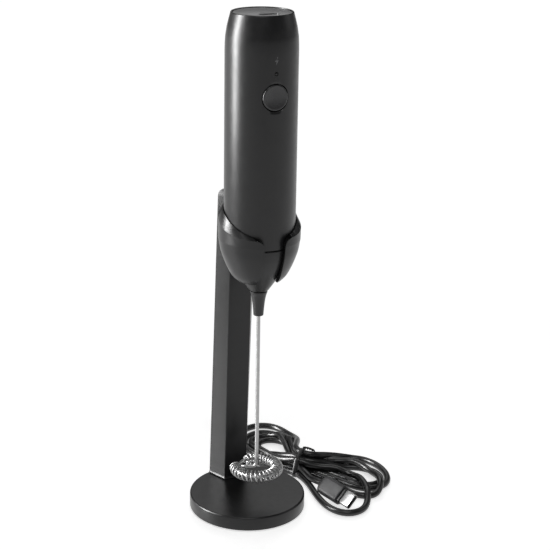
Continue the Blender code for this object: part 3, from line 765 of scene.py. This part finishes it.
def cable_line():
    """The settled centreline of the whole cable, from plug to plug."""
    guide, in_tie = [], []
    for points, slot in ROUTE:
        guide += points
        if slot:
            in_tie.append(len(guide))
            guide += [at_tie(0, *slot)]
    line, run = evenly(smooth_line(guide, ROUTE_STEPS), 3.0)
    step = run[-1] / (len(line) - 1)
    pull = np.full(len(line), PULL)
    for place in in_tie:
        pull[round(run[ROUTE_STEPS * place] / step)] = PULL_IN_TIE
    pull[[0, 1, -2, -1]] = PULL_AT_PLUGS
    line = settle(line, pull, 0.8, 450)
    fine = np.array([tuple(p) for p in smooth_line(line, 2)])
    pull = np.full(len(fine), 0.02)
    pull[[0, 1, 2, -3, -2, -1]] = PULL_AT_PLUGS
    return settle(fine, pull, 1.0, 40)


def make_cable(looks):
    line = cable_line()
    curve = bpy.data.curves.new("charging_cable", "CURVE")
    curve.dimensions = "3D"
    curve.bevel_depth = CABLE_R * MM
    curve.bevel_resolution = 6
    curve.use_fill_caps = True
    spline = curve.splines.new("POLY")
    spline.points.add(len(line) - 1)
    for point, place in zip(spline.points, line):
        point.co = (*[c * MM for c in place], 1.0)
    spline.use_smooth = True
    curve.materials.append(looks["cable_sheath"])
    cable = bpy.data.objects.new("charging_cable", curve)
    bpy.context.scene.collection.objects.link(cable)
    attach(cable, "stand")
    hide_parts("cable_hank", "cable_front_loop", "cable_plug_lead", "cable_tail")
    length = float(np.linalg.norm(np.diff(line, axis=0), axis=1).sum()) * MM
    return cable, length, line


def bundle_section(line):
    """Where the strands cross the tie's plane: (across, height from the tie's centre)."""
    offset = line - np.array(TIE_CENTRE)
    ahead = offset @ np.array(TIE_AXIS)
    section = []
    for i in range(len(line) - 1):
        if ahead[i] * ahead[i + 1] <= 0 and np.linalg.norm(offset[i]) < 12:
            share = ahead[i] / (ahead[i] - ahead[i + 1])
            place = offset[i] + share * (offset[i + 1] - offset[i])
            section.append((place @ np.array(TIE_SIDE), place[2]))
    return np.array(section)


def make_tie(looks, line):
    """A thin wire tie: a flat band drawn round the strands, its ends twisted together on the far side."""
    place = along(TIE_CENTRE, TIE_AXIS, TIE_SIDE)
    section = bundle_section(line)
    floor = 0.1 - TIE_CENTRE.z
    band = []
    for lift, half in ((0.02, 1.0), (0.35, 1.2), (0.5, 0.9), (0.5, -0.9), (0.35, -1.2), (0.02, -1.0)):
        ring = []
        for i in range(120):
            out = np.array([math.cos(2 * math.pi * i / 120), math.sin(2 * math.pi * i / 120)])
            strand = section[(section @ out).argmax()]
            x, y = strand + out * (CABLE_R + lift)
            ring.append(place @ Vector((x, max(y, floor + 0.5 - lift), half)))
        band.append(ring)
    parts = [loft(band, closed=True)]
    top = section[(section @ np.array([0.6, 0.8])).argmax()] + np.array([0.6, 0.8]) * (CABLE_R + 0.7)
    for phase in (0.0, math.pi):
        twist = []
        for i in range(41):
            share = i / 40
            turn = phase + 2.5 * 2 * math.pi * share
            lean = Vector((top[0] + 3.4 * share, top[1] - 2.4 * share * share, 5.5 * share))
            twist.append(place @ (lean + 0.42 * Vector((0, math.cos(turn), math.sin(turn)))))
        parts.append(sweep(twist, 0.42, 10))
    return finish("wire_tie", merged(*parts), looks["cable_sheath"], "stand", ["cable_tie"])


def plug_frame(back, axis, roll=0.0):
    """Z along the plug towards its tip, X across its width, rolled about the plug's own axis."""
    level = UP.cross(axis)
    across = level * math.cos(roll) + UP * math.sin(roll)
    return along(back, axis, across)


def grip(place, sections, radius):
    """A plug's moulded grip through (distance, width, height) sections."""
    rings = []
    for z, width, height in sections:
        outline = rounded_box(width, height, min(height / 2 - 0.05, radius))
        rings.append([place @ Vector((x, y, z)) for x, y in outline])
    return loft(rings)


def make_usb_c_plug(looks):
    moulding = looks["plug_overmould"]
    black = looks["contact_plastic"]
    steel = looks["stainless_steel"]
    place = plug_frame(PLUG_BACK, PLUG_AXIS, PLUG_ROLL)
    sections = [(0.0, 3.7, 3.7), (0.5, 5.2, 4.2), (1.2, 8.2, 5.0), (1.9, 9.7, 5.6), (2.7, 10.25, 5.9)]
    sections += [(3.6, 10.4, 6.0), (16.2, 10.4, 6.0), (16.7, 10.2, 5.8), (17.0, 9.6, 5.2)]
    grip_mesh = grip(place, sections, 2.1)
    body = finish("usb_c_grip", grip_mesh, moulding, "stand", ["usb_c_overmould"])
    collar_mesh = grip(place, [(17.0, 8.9, 3.5), (17.3, 9.1, 3.7), (18.4, 9.1, 3.7), (18.7, 8.8, 3.4)], 1.7)
    collar = finish("usb_c_neck", collar_mesh, black, "stand", ["usb_c_collar"])
    shell_mesh = prism(stadium(8.34, 2.56), 18.6, 25.4, place)
    shell = finish("usb_c_tube", shell_mesh, steel, "stand", ["usb_c_shell"])
    cut(shell, prism(stadium(7.7, 1.92), 19.6, 27.0, place))
    bevelled(shell, 0.12, 2, 50)
    liner_mesh = grip(place, [(19.7, 7.6, 1.8), (25.0, 7.6, 1.8)], 0.85)
    liner = finish("usb_c_liner", liner_mesh, black, "stand")
    cut(liner, grip(place, [(19.9, 6.7, 0.75), (26.0, 6.7, 0.75)], 0.3))
    return [body, collar, shell, liner]


def make_usb_a_plug(looks):
    moulding = looks["plug_overmould"]
    black = looks["contact_plastic"]
    steel = looks["stainless_steel"]
    place = plug_frame(A_PLUG_BACK, A_PLUG_AXIS)
    sections = [(0.0, 4.0, 4.0), (0.8, 6.0, 5.0), (2.2, 10.6, 6.7), (3.4, 13.2, 7.5), (4.4, 14.4, 7.8)]
    sections += [(5.4, 14.6, 7.8), (18.0, 14.6, 7.8), (18.7, 14.2, 7.5), (19.0, 13.6, 6.9)]
    grip_mesh = grip(place, sections, 2.0)
    body = finish("usb_a_grip", grip_mesh, moulding, "stand", ["usb_a_overmould"])
    shell_mesh = prism(rounded_box(12.0, 4.5, 0.5), 18.9, 31.3, place)
    shell = finish("usb_a_tube", shell_mesh, steel, "stand", ["usb_a_shell"])
    windows = [prism(rounded_box(2.0, 2.2, 0.2, 2), -4, 4, place @ turned_window(x)) for x in (-2.9, 2.9)]
    cut(shell, prism(rounded_box(11.3, 3.8, 0.3), 20.0, 33.0, place), *windows)
    bevelled(shell, 0.12, 2, 50)
    tongue_mesh = prism(rounded_box(10.5, 1.5, 0.3, 2), 20.0, 30.6, place @ Matrix.Translation((0, 0.9, 0)))
    tongue = finish("usb_a_tongue_block", tongue_mesh, black, "stand", ["usb_a_tongue"])
    bevelled(tongue, 0.15, 2)
    strips = []
    for x in (-3.5, -1.0, 1.0, 3.5):
        spot = place @ Matrix.Translation((x, 0.12, 0))
        strips.append(prism(rounded_box(1.2, 0.12, 0.05, 2), 21.5, 30.0, spot))
    contacts = finish("usb_a_contacts", merged(*strips), looks["gold_contact"], "stand")
    return [body, shell, tongue, contacts]


def turned_window(x):
    """A square window's frame, through the plug's flat faces."""
    return Matrix.Translation((x, 0, 25.6)) @ Matrix.Rotation(math.radians(90), 4, "X")


def make_cord(looks):
    cable, length, line = make_cable(looks)
    pieces = [make_tie(looks, line)] + make_usb_c_plug(looks) + make_usb_a_plug(looks)


# -------------------------------------------------------------------- stand


def make_base(looks):
    edge = []
    for i in range(9):
        turn = math.radians(90 * i / 8)
        radius = BASE_R - BASE_EDGE + BASE_EDGE * math.sin(turn)
        edge.append((radius, BASE_H - BASE_EDGE + BASE_EDGE * math.cos(turn)))
    profile = [(0, BASE_H), (BASE_R - 1.6, BASE_H)] + edge
    profile += [(BASE_R, 0.9), (BASE_R - 0.1, 0.65), (BASE_R - 0.35, 0.5), (BASE_R - 2.0, 0.5)]
    profile += [(BASE_R - 2.0, 5.7), (0, 5.7)]
    bm = lathe(profile, segments=192)
    finish("round_base", bm, looks["stand_plastic"], "stand", ["stand_base"])


def post_outline(z, grow):
    """The post in plan, as in the CAD, with rounded corners."""
    front = POST_FRONT_Y - POST_FRONT_LEAN * z - grow
    back = POST_BACK_Y - POST_BACK_LEAN * z + min(grow, 0.0)
    half_front = POST_FRONT_HALF + grow
    half_back = POST_BACK_HALF + (grow if grow < 0 else 0.4 * grow)
    corners = [Vector((-half_front, front)), Vector((half_front, front))]
    corners.append(Vector((half_back, back)))
    for i in range(1, 12):
        share = 1 - 2 * i / 12
        corners.append(Vector((half_back * share, back + 1.9 * (1 - share * share))))
    corners.append(Vector((-half_back, back)))
    outline = []
    for i, corner in enumerate(corners):
        before = corner - corners[i - 1]
        after = corners[(i + 1) % len(corners)] - corner
        if before.angle(after) < math.radians(25):
            outline.append(corner)
            continue
        reach = 0.75 * math.tan(before.angle(after) / 2)
        start = corner - before.normalized() * reach
        end = corner + after.normalized() * reach
        for k in range(6):
            t = k / 5
            outline.append((1 - t) ** 2 * start + 2 * t * (1 - t) * corner + t * t * end)
    return [(p.x, p.y) for p in outline]


def make_post(looks):
    levels = [(8.0, 0.8), (8.15, 0.52), (8.4, 0.26), (8.8, 0.07), (9.3, 0.0), (40.0, 0.0), (80.0, 0.0)]
    levels += [(120.0, 0.0), (155.0, 0.0), (POST_TOP_Z - POST_TOP_ROUND, 0.0)]
    for i in range(1, 9):
        turn = math.radians(90 * i / 8)
        z = POST_TOP_Z - POST_TOP_ROUND + POST_TOP_ROUND * math.sin(turn)
        levels.append((z, -2.4 * (1 - math.cos(turn))))
    rings = [[(x, y, z) for x, y in post_outline(z, grow)] for z, grow in levels]
    finish("leaning_post", loft(rings), looks["stand_plastic"], "stand", ["stand_post"], 50)


# Outlines of the cradle's bowl and the frother's nose: (radius, height)
BOWL_POINTS = [(11.3, 129.6), (14.0, 132.6), (16.8, 138.3), (19.0, 144.5), (19.8, 149.0), (20.1, 150.6)]
CONE_POINTS = [(4.75, 123.5), (8.5, 129.0), (11.9, 134.0), (14.3, 138.0), (16.05, 142.0), (17.05, 145.5)]
BOWL_OUTER = smooth_profile(BOWL_POINTS)
CONE = smooth_profile(CONE_POINTS + [(17.5, 148.1)], 6)


def rim_heights(turn):
    """Outer and inner edge of the cradle's rim, at an angle from the front, in degrees."""
    share = (1 - math.cos(math.radians(turn))) / 2
    outer = RIM_FRONT_Z + (RIM_BACK_Z - RIM_FRONT_Z) * share**1.75
    lean = 5.2 * math.sin(math.radians(min(turn, 180 - turn) * 0.9)) ** 2
    return outer, min(outer + lean, RIM_BACK_Z)


def slot_half(z):
    """The front slot's half width at a height: straight, then flaring round at the rim."""
    above = min(max(z - (RIM_FRONT_Z - SLOT_FLARE), 0.0), SLOT_FLARE)
    return SLOT_HALF + SLOT_FLARE - math.sqrt(SLOT_FLARE**2 - above**2)


def cradle_section(share):
    """A section of the cradle's wall; share runs round the back from one side of the slot to the other."""
    edge = math.degrees(math.asin((SLOT_HALF + SLOT_FLARE) / BOWL_R))
    outer_z, inner_z = rim_heights(180 - abs(180 - (edge + (360 - 2 * edge) * share)))
    outer = [(r, z, z) for r, z in BOWL_OUTER[:-1]]
    for i in range(13):
        part = i / 12
        z = BOWL_OUTER[-1][1] + (outer_z - BOWL_OUTER[-1][1]) * part
        level = BOWL_OUTER[-1][1] + (RIM_FRONT_Z - BOWL_OUTER[-1][1]) * part
        outer.append((BOWL_R - 0.1 * (1 - part), z, level))
    inner = []
    for i in range(13):
        part = 1 - i / 12
        z = SEAM_Z + (inner_z - SEAM_Z) * part
        inner.append((BOWL_INNER_R, z, SEAM_Z + (RIM_FRONT_Z - SEAM_Z) * part))
    cone = [(r + 0.45, z, z) for r, z in reversed(CONE) if 130.2 < z < SEAM_Z - 1]
    section = outer + inner + cone + [(9.5, 129.6, 129.6)]
    ring = []
    for radius, z, level in section:
        start = math.asin(min(slot_half(level) / radius, 0.99))
        turn = start + (2 * math.pi - 2 * start) * share
        ring.append((-radius * math.sin(turn), AXIS_Y - radius * math.cos(turn), z))
    return ring


def make_cradle(looks):
    steps = 120
    bowl = loft([cradle_section(i / steps) for i in range(steps + 1)])
    cradle = finish("cradle_bowl", bowl, looks["stand_plastic"], "stand", ["cradle"], 30)
    bevelled(cradle, 0.35, 3, 42, 30)
    heads = [rod((0, 2.0, z), BACK, [(3.2, 0), (3.2, 5.9), (1.6, 5.9), (1.6, 10.0)]) for z in (147.0, 159.0)]
    cut(cradle, *heads, smooth=30)
    rings = []
    for z in (141.0, 166.0):
        back = 16.6 - POST_FRONT_LEAN * z
        rings.append([(-5.6, 7.2, z), (5.6, 7.2, z), (5.6, back, z), (-5.6, back, z)])
    block = finish("cradle_block", loft(rings), looks["stand_plastic"], "stand")
    bevelled(block, 0.6, 3)


# ------------------------------------------------------------------ frother


def make_barrel(looks):
    shoulder = [(BARREL_R, 239.0), (BARREL_R, SHOULDER_Z), (17.35, 249.0), (17.05, 251.5), (16.65, 254.0)]
    shoulder += [(16.2, 256.0), (15.7, 258.0), (15.25, 259.7), (14.98, 260.7)]
    profile = [(16.9, SEAM_Z + 0.2), (17.3, SEAM_Z + 0.25), (17.48, SEAM_Z + 0.4), (BARREL_R, SEAM_Z + 0.7)]
    profile += [(BARREL_R, BUTTON_Z + rise) for rise in (-8.6, -7.9, 7.9, 8.6)]
    profile += smooth_profile(shoulder, 3)
    profile += [(14.85, 261.02), (14.65, 261.17), (14.45, TOP_Z), (14.25, 261.1), (14.15, 260.8)]
    profile += [(14.15, 258.2), (12.6, 258.2), (12.6, 257.2), (14.2, 253.0), (15.4, 248.0)]
    profile += [(15.65, SHOULDER_Z), (15.65, SEAM_Z + 0.2)]
    bm = on_axis(profile, 160, closed=True)
    shell = finish("barrel", bm, looks["handle_plastic"], "frother", ["handle_shell"], 40)
    bore = rod((0, -36.0, BUTTON_Z), BACK, [(7.6, 0), (7.6, 6.35), (6.72, 7.0), (6.72, 12.5)], 96)
    lamp = rod((0, -36.0, INDICATOR_Z), BACK, [(0.95, 0), (0.95, 12.0)])
    cut(shell, bore, lamp, smooth=40)


def make_top(looks):
    black = looks["contact_plastic"]
    steel = looks["stainless_steel"]
    profile = [(0, 258.5), (13.9, 258.5), (13.9, 260.55), (13.8, 260.75), (13.55, 260.85), (0, 260.9)]
    # The end cap wears cap_plastic, whose light grey is a painted reflection of the top light
    disc = finish("end_cap", on_axis(profile), looks["cap_plastic"], "frother", ["top_cap"])
    place = Matrix.Translation((0, USB_Y, 0))
    flare = []
    for z, width, height in ((257, 9.5, 3.7), (260.5, 9.5, 3.7), (261.4, 10.6, 4.8)):
        flare.append([(x, y + USB_Y, z) for x, y in stadium(width, height)])
    cut(disc, loft(flare))
    shell_mesh = prism(stadium(8.94, 3.16), 253.2, 260.5, place)
    shell = finish("socket_tube", shell_mesh, steel, "frother", ["charge_socket_shell"])
    cut(shell, prism(stadium(8.34, 2.56), 254.0, 262.0, place))
    tongue_mesh = prism(rounded_box(6.7, 0.7, 0.3), 254.0, 259.6, place)
    node = "charge_socket_tongue"
    tongue = finish("socket_tongue", tongue_mesh, black, "frother", [node])
    bevelled(tongue, 0.1, 2)
    pads = []
    for i in range(12):
        x = -2.75 + 0.5 * i
        for side in (-1, 1):
            spot = place @ Matrix.Translation((x, side * 0.37, 0))
            pads.append(prism(rounded_box(0.25, 0.04, 0.015, 1), 256.6, 259.2, spot))
    finish("socket_pads", merged(*pads), looks["gold_contact"], "frother")


def make_nose(looks):
    outer = [(4.35, NOZZLE_SEAM_Z + 0.3), (4.65, NOZZLE_SEAM_Z + 0.4)] + CONE[1:-1]
    outer += [(17.45, SEAM_Z - 0.45), (17.3, SEAM_Z - 0.25), (16.9, SEAM_Z - 0.15)]
    inner = [(15.3, SEAM_Z - 0.1), (15.3, 154.0), (13.9, 154.0), (13.9, 142.5), (11.7, 137.0), (7.8, 131.0)]
    inner += [(3.6, 126.0), (1.6, 126.0), (1.6, NOZZLE_SEAM_Z + 0.3)]
    bm = on_axis(outer + inner, 160, closed=True)
    finish("nose", bm, looks["handle_plastic"], "frother", ["nose_cone"])


def make_nozzle(looks):
    shape = [(4.35, 122.5), (3.75, 120.7), (3.25, 118.2), (2.9, 115.2), (2.66, 112.4)]
    shape.append((2.55, NOZZLE_TIP_Z + 0.5))
    profile = [(1.5, NOZZLE_SEAM_Z), (4.1, NOZZLE_SEAM_Z), (4.35, NOZZLE_SEAM_Z - 0.2)]
    profile += smooth_profile(shape)
    profile += [(2.48, NOZZLE_TIP_Z + 0.15), (2.3, NOZZLE_TIP_Z), (1.75, NOZZLE_TIP_Z)]
    profile.append((1.5, NOZZLE_TIP_Z + 0.3))
    bm = on_axis(profile, 96, closed=True)
    finish("nose_tip", bm, looks["trim_plastic"], "frother", ["nozzle"])


def make_button(looks):
    front = AXIS_Y - BARREL_R + 0.35
    cap = [(0, 0.62), (1.2, 0.6), (2.4, 0.53), (3.6, 0.4), (4.6, 0.23), (5.3, 0.07), (5.65, 0.0)]
    cap += [(5.9, 0.03), (6.15, 0.2), (6.28, 0.45), (BUTTON_R, 0.8), (BUTTON_R, 4.0), (7.4, 4.0)]
    cap += [(7.4, 4.9), (1.6, 4.9), (1.6, 5.5), (0, 5.5)]
    bm = lathe(cap, along((0, front, BUTTON_Z), BACK), segments=128)
    finish("push_button", bm, looks["spun_button"], "button", ["power_button"])


def make_indicator(looks):
    front = AXIS_Y - BARREL_R
    dome = [(0, 0.12), (0.4, 0.14), (0.65, 0.22), (0.78, 0.4), (0.78, 9.6), (0, 9.6)]
    bm = lathe(dome, along((0, front, INDICATOR_Z), BACK), segments=48)
    finish("lamp_window", bm, looks["smoked_lens"], "frother", ["indicator_lens"])


def make_icon(looks):
    """A small printed lightning bolt above the lamp, wrapped on the barrel."""
    shape = [(0.25, 1.9), (-0.95, -0.25), (-0.1, -0.25), (-0.3, -1.9), (0.95, 0.35), (0.1, 0.35), (0.55, 1.9)]
    bm = bmesh.new()
    layers = []
    for lift in (0.0, 0.02):
        radius = BARREL_R + lift
        layers.append([bm.verts.new(wrapped(x, z, radius)) for x, z in shape])
    bm.faces.new(layers[1])
    bm.faces.new(layers[0])
    for i in range(len(shape)):
        j = (i + 1) % len(shape)
        bm.faces.new((layers[0][i], layers[0][j], layers[1][j], layers[1][i]))
    finish("charge_icon", bm, looks["icon_print"], "frother")


def wrapped(x, z, radius):
    """A point of a flat drawing, laid on the barrel's front."""
    turn = x / radius
    return (radius * math.sin(turn), AXIS_Y - radius * math.cos(turn), ICON_Z + z)


# -------------------------------------------------------------------- whisk

ARM_TURN = math.radians(160.0)
ARM_REACH = 6.2
RING_START = math.radians(106.0)
RING_SWEEP = math.radians(-319.0)


def whisk_wire_line():
    """Straight down the axis, out along a short arm, then round the ring."""
    out = Vector((math.cos(ARM_TURN), math.sin(ARM_TURN), 0))
    centre = Vector((0, AXIS_Y, WHISK_Z))
    low = centre + UP * 0.6
    line = [Vector((0, AXIS_Y, z)) for z in (137.0, 100.0, 60.0, WHISK_Z + 2.8)]
    for i in range(1, 9):
        turn = math.radians(90 * i / 8)
        line.append(low + out * 2.2 * (1 - math.cos(turn)) + UP * 2.2 * (1 - math.sin(turn)))
    bend = [low + out * 2.4, low + out * 4.4, low + out * ARM_REACH, centre + Vector((-6.9, 6.0, 0.2))]
    for i in range(3):
        bend.append(on_ring(0.02 + 0.02 * i))
    line += smooth_line(bend, 6)[1:]
    for i in range(1, 89):
        line.append(on_ring(0.06 + 0.94 * i / 88))
    return line


def on_ring(share, reach=WHISK_RING_R, lift=0.0):
    """A point on the whisk's ring; share runs from the arm round to the free end."""
    turn = RING_START + RING_SWEEP * share
    return Vector((reach * math.cos(turn), AXIS_Y + reach * math.sin(turn), WHISK_Z + lift))


def whisk_coil_line(per_turn=20):
    """The spring wound round the ring wire, narrower at its ends."""
    count = WHISK_TURNS * per_turn
    line = []
    for i in range(count + 1):
        twist = 2 * math.pi * i / per_turn
        coil = WHISK_COIL_R * min(1.0, 0.45 + 0.9 * min(i, count - i) / per_turn)
        reach = WHISK_RING_R + coil * math.cos(twist)
        line.append(on_ring(0.02 + 0.97 * i / count, reach, coil * math.sin(twist)))
    return line


def make_whisk(looks):
    steel = looks["stainless_steel"]
    wire = sweep(whisk_wire_line(), 1.0, 20)
    finish("whisk_rod", wire, steel, "rotor", ["whisk_wire"], 60)
    coil = sweep(whisk_coil_line(), WHISK_WIRE_R, 8)
    finish("whisk_spring", coil, steel, "rotor", ["whisk_coil"], 80)


# ------------------------------------------------------------------- studio


def area_light(name, place, aim, size, power, tall=None, diffuse=True):
    """A lamp at a place in metres; with diffuse off it only shows as a reflection."""
    data = bpy.data.lights.new(name, "AREA")
    data.energy = power
    data.size = size
    if tall:
        data.shape = "RECTANGLE"
        data.size_y = tall
    light = bpy.data.objects.new(name, data)
    direction = (Vector(aim) - Vector(place)).normalized()
    light.matrix_world = along(Vector(place), -direction, UP.cross(direction))
    light.visible_diffuse = diffuse
    bpy.context.scene.collection.objects.link(light)


def glow_outwards(look):
    """The floor is lit near the object, and blends into plain white away from it."""
    tree = look.tree
    distance = tree.nodes.new("ShaderNodeVectorMath")
    distance.operation = "LENGTH"
    blend = tree.nodes.new("ShaderNodeMapRange")
    blend.interpolation_type = "SMOOTHSTEP"
    blend.inputs["From Min"].default_value = 0.10
    blend.inputs["From Max"].default_value = 0.42
    white = tree.nodes.new("ShaderNodeEmission")
    white.inputs["Strength"].default_value = 1.02
    mix = tree.nodes.new("ShaderNodeMixShader")
    tree.links.new(look.place, distance.inputs[0])
    tree.links.new(distance.outputs["Value"], blend.inputs["Value"])
    tree.links.new(blend.outputs["Result"], mix.inputs["Fac"])
    tree.links.new(look.shader.outputs["BSDF"], mix.inputs[1])
    tree.links.new(white.outputs["Emission"], mix.inputs[2])
    tree.links.new(mix.outputs["Shader"], tree.nodes["Material Output"].inputs["Surface"])
    look.shader.inputs["Emission Color"].default_value = (1, 1, 1, 1)
    look.shader.inputs["Emission Strength"].default_value = 0.64


def make_floor():
    bm = bmesh.new()
    bmesh.ops.create_grid(bm, x_segments=1, y_segments=1, size=4.0)
    mesh = bpy.data.meshes.new("studio_floor")
    bm.to_mesh(mesh)
    bm.free()
    floor = bpy.data.objects.new("studio_floor", mesh)
    floor.location.z = -0.0003
    bpy.context.scene.collection.objects.link(floor)
    look = Look("floor_white", (0.86, 0.86, 0.86), 0.8)
    look.vary_colour(look.noise(60.0, 2), 0.01)
    glow_outwards(look)
    mesh.materials.append(look.material)


def make_world():
    """White to the camera, and a dim studio to everything else."""
    world = bpy.data.worlds.new("studio")
    world.use_nodes = True
    tree = world.node_tree
    seen = tree.nodes.new("ShaderNodeLightPath")
    mix = tree.nodes.new("ShaderNodeMix")
    mix.data_type = "RGBA"
    mix.inputs["A"].default_value = (0.10, 0.10, 0.10, 1)
    mix.inputs["B"].default_value = (1, 1, 1, 1)
    tree.links.new(seen.outputs["Is Camera Ray"], mix.inputs["Factor"])
    tree.links.new(mix.outputs["Result"], tree.nodes["Background"].inputs["Color"])
    bpy.context.scene.world = world


def make_studio():
    make_floor()
    make_world()
    area_light("left_strip", (-0.80, 0.30, 0.30), (0, 0, 0.15), 0.24, 40.0, tall=1.1, diffuse=False)
    area_light("key", (-0.35, -0.75, 1.3), (0, 0, 0.1), 0.8, 6.5)
    area_light("right_fill", (1.1, -0.2, 0.7), (0, 0, 0.12), 0.7, 1.2)
    area_light("top_back", (0.3, 0.9, 1.0), (0, 0, 0.1), 0.9, 3.6)
    bpy.context.scene.view_settings.view_transform = "Standard"


# --------------------------------------------------------------------- main


def dress_cad_nodes(looks):
    """Gives every CAD node the procedural material of its slot."""
    slots = {row["node"]: row["material_slot"] for row in frame["record"]["subparts"]}
    for name, node in frame["nodes"].items():
        node.data.materials.clear()
        node.data.materials.append(looks[slots[name]])


def main():
    make_camera()
    looks = make_looks()
    make_cord(looks)
    dress_cad_nodes(looks)
    make_base(looks)
    make_post(looks)
    make_cradle(looks)
    make_barrel(looks)
    make_top(looks)
    make_nose(looks)
    make_nozzle(looks)
    make_button(looks)
    make_indicator(looks)
    make_icon(looks)
    make_whisk(looks)
    make_studio()


main()
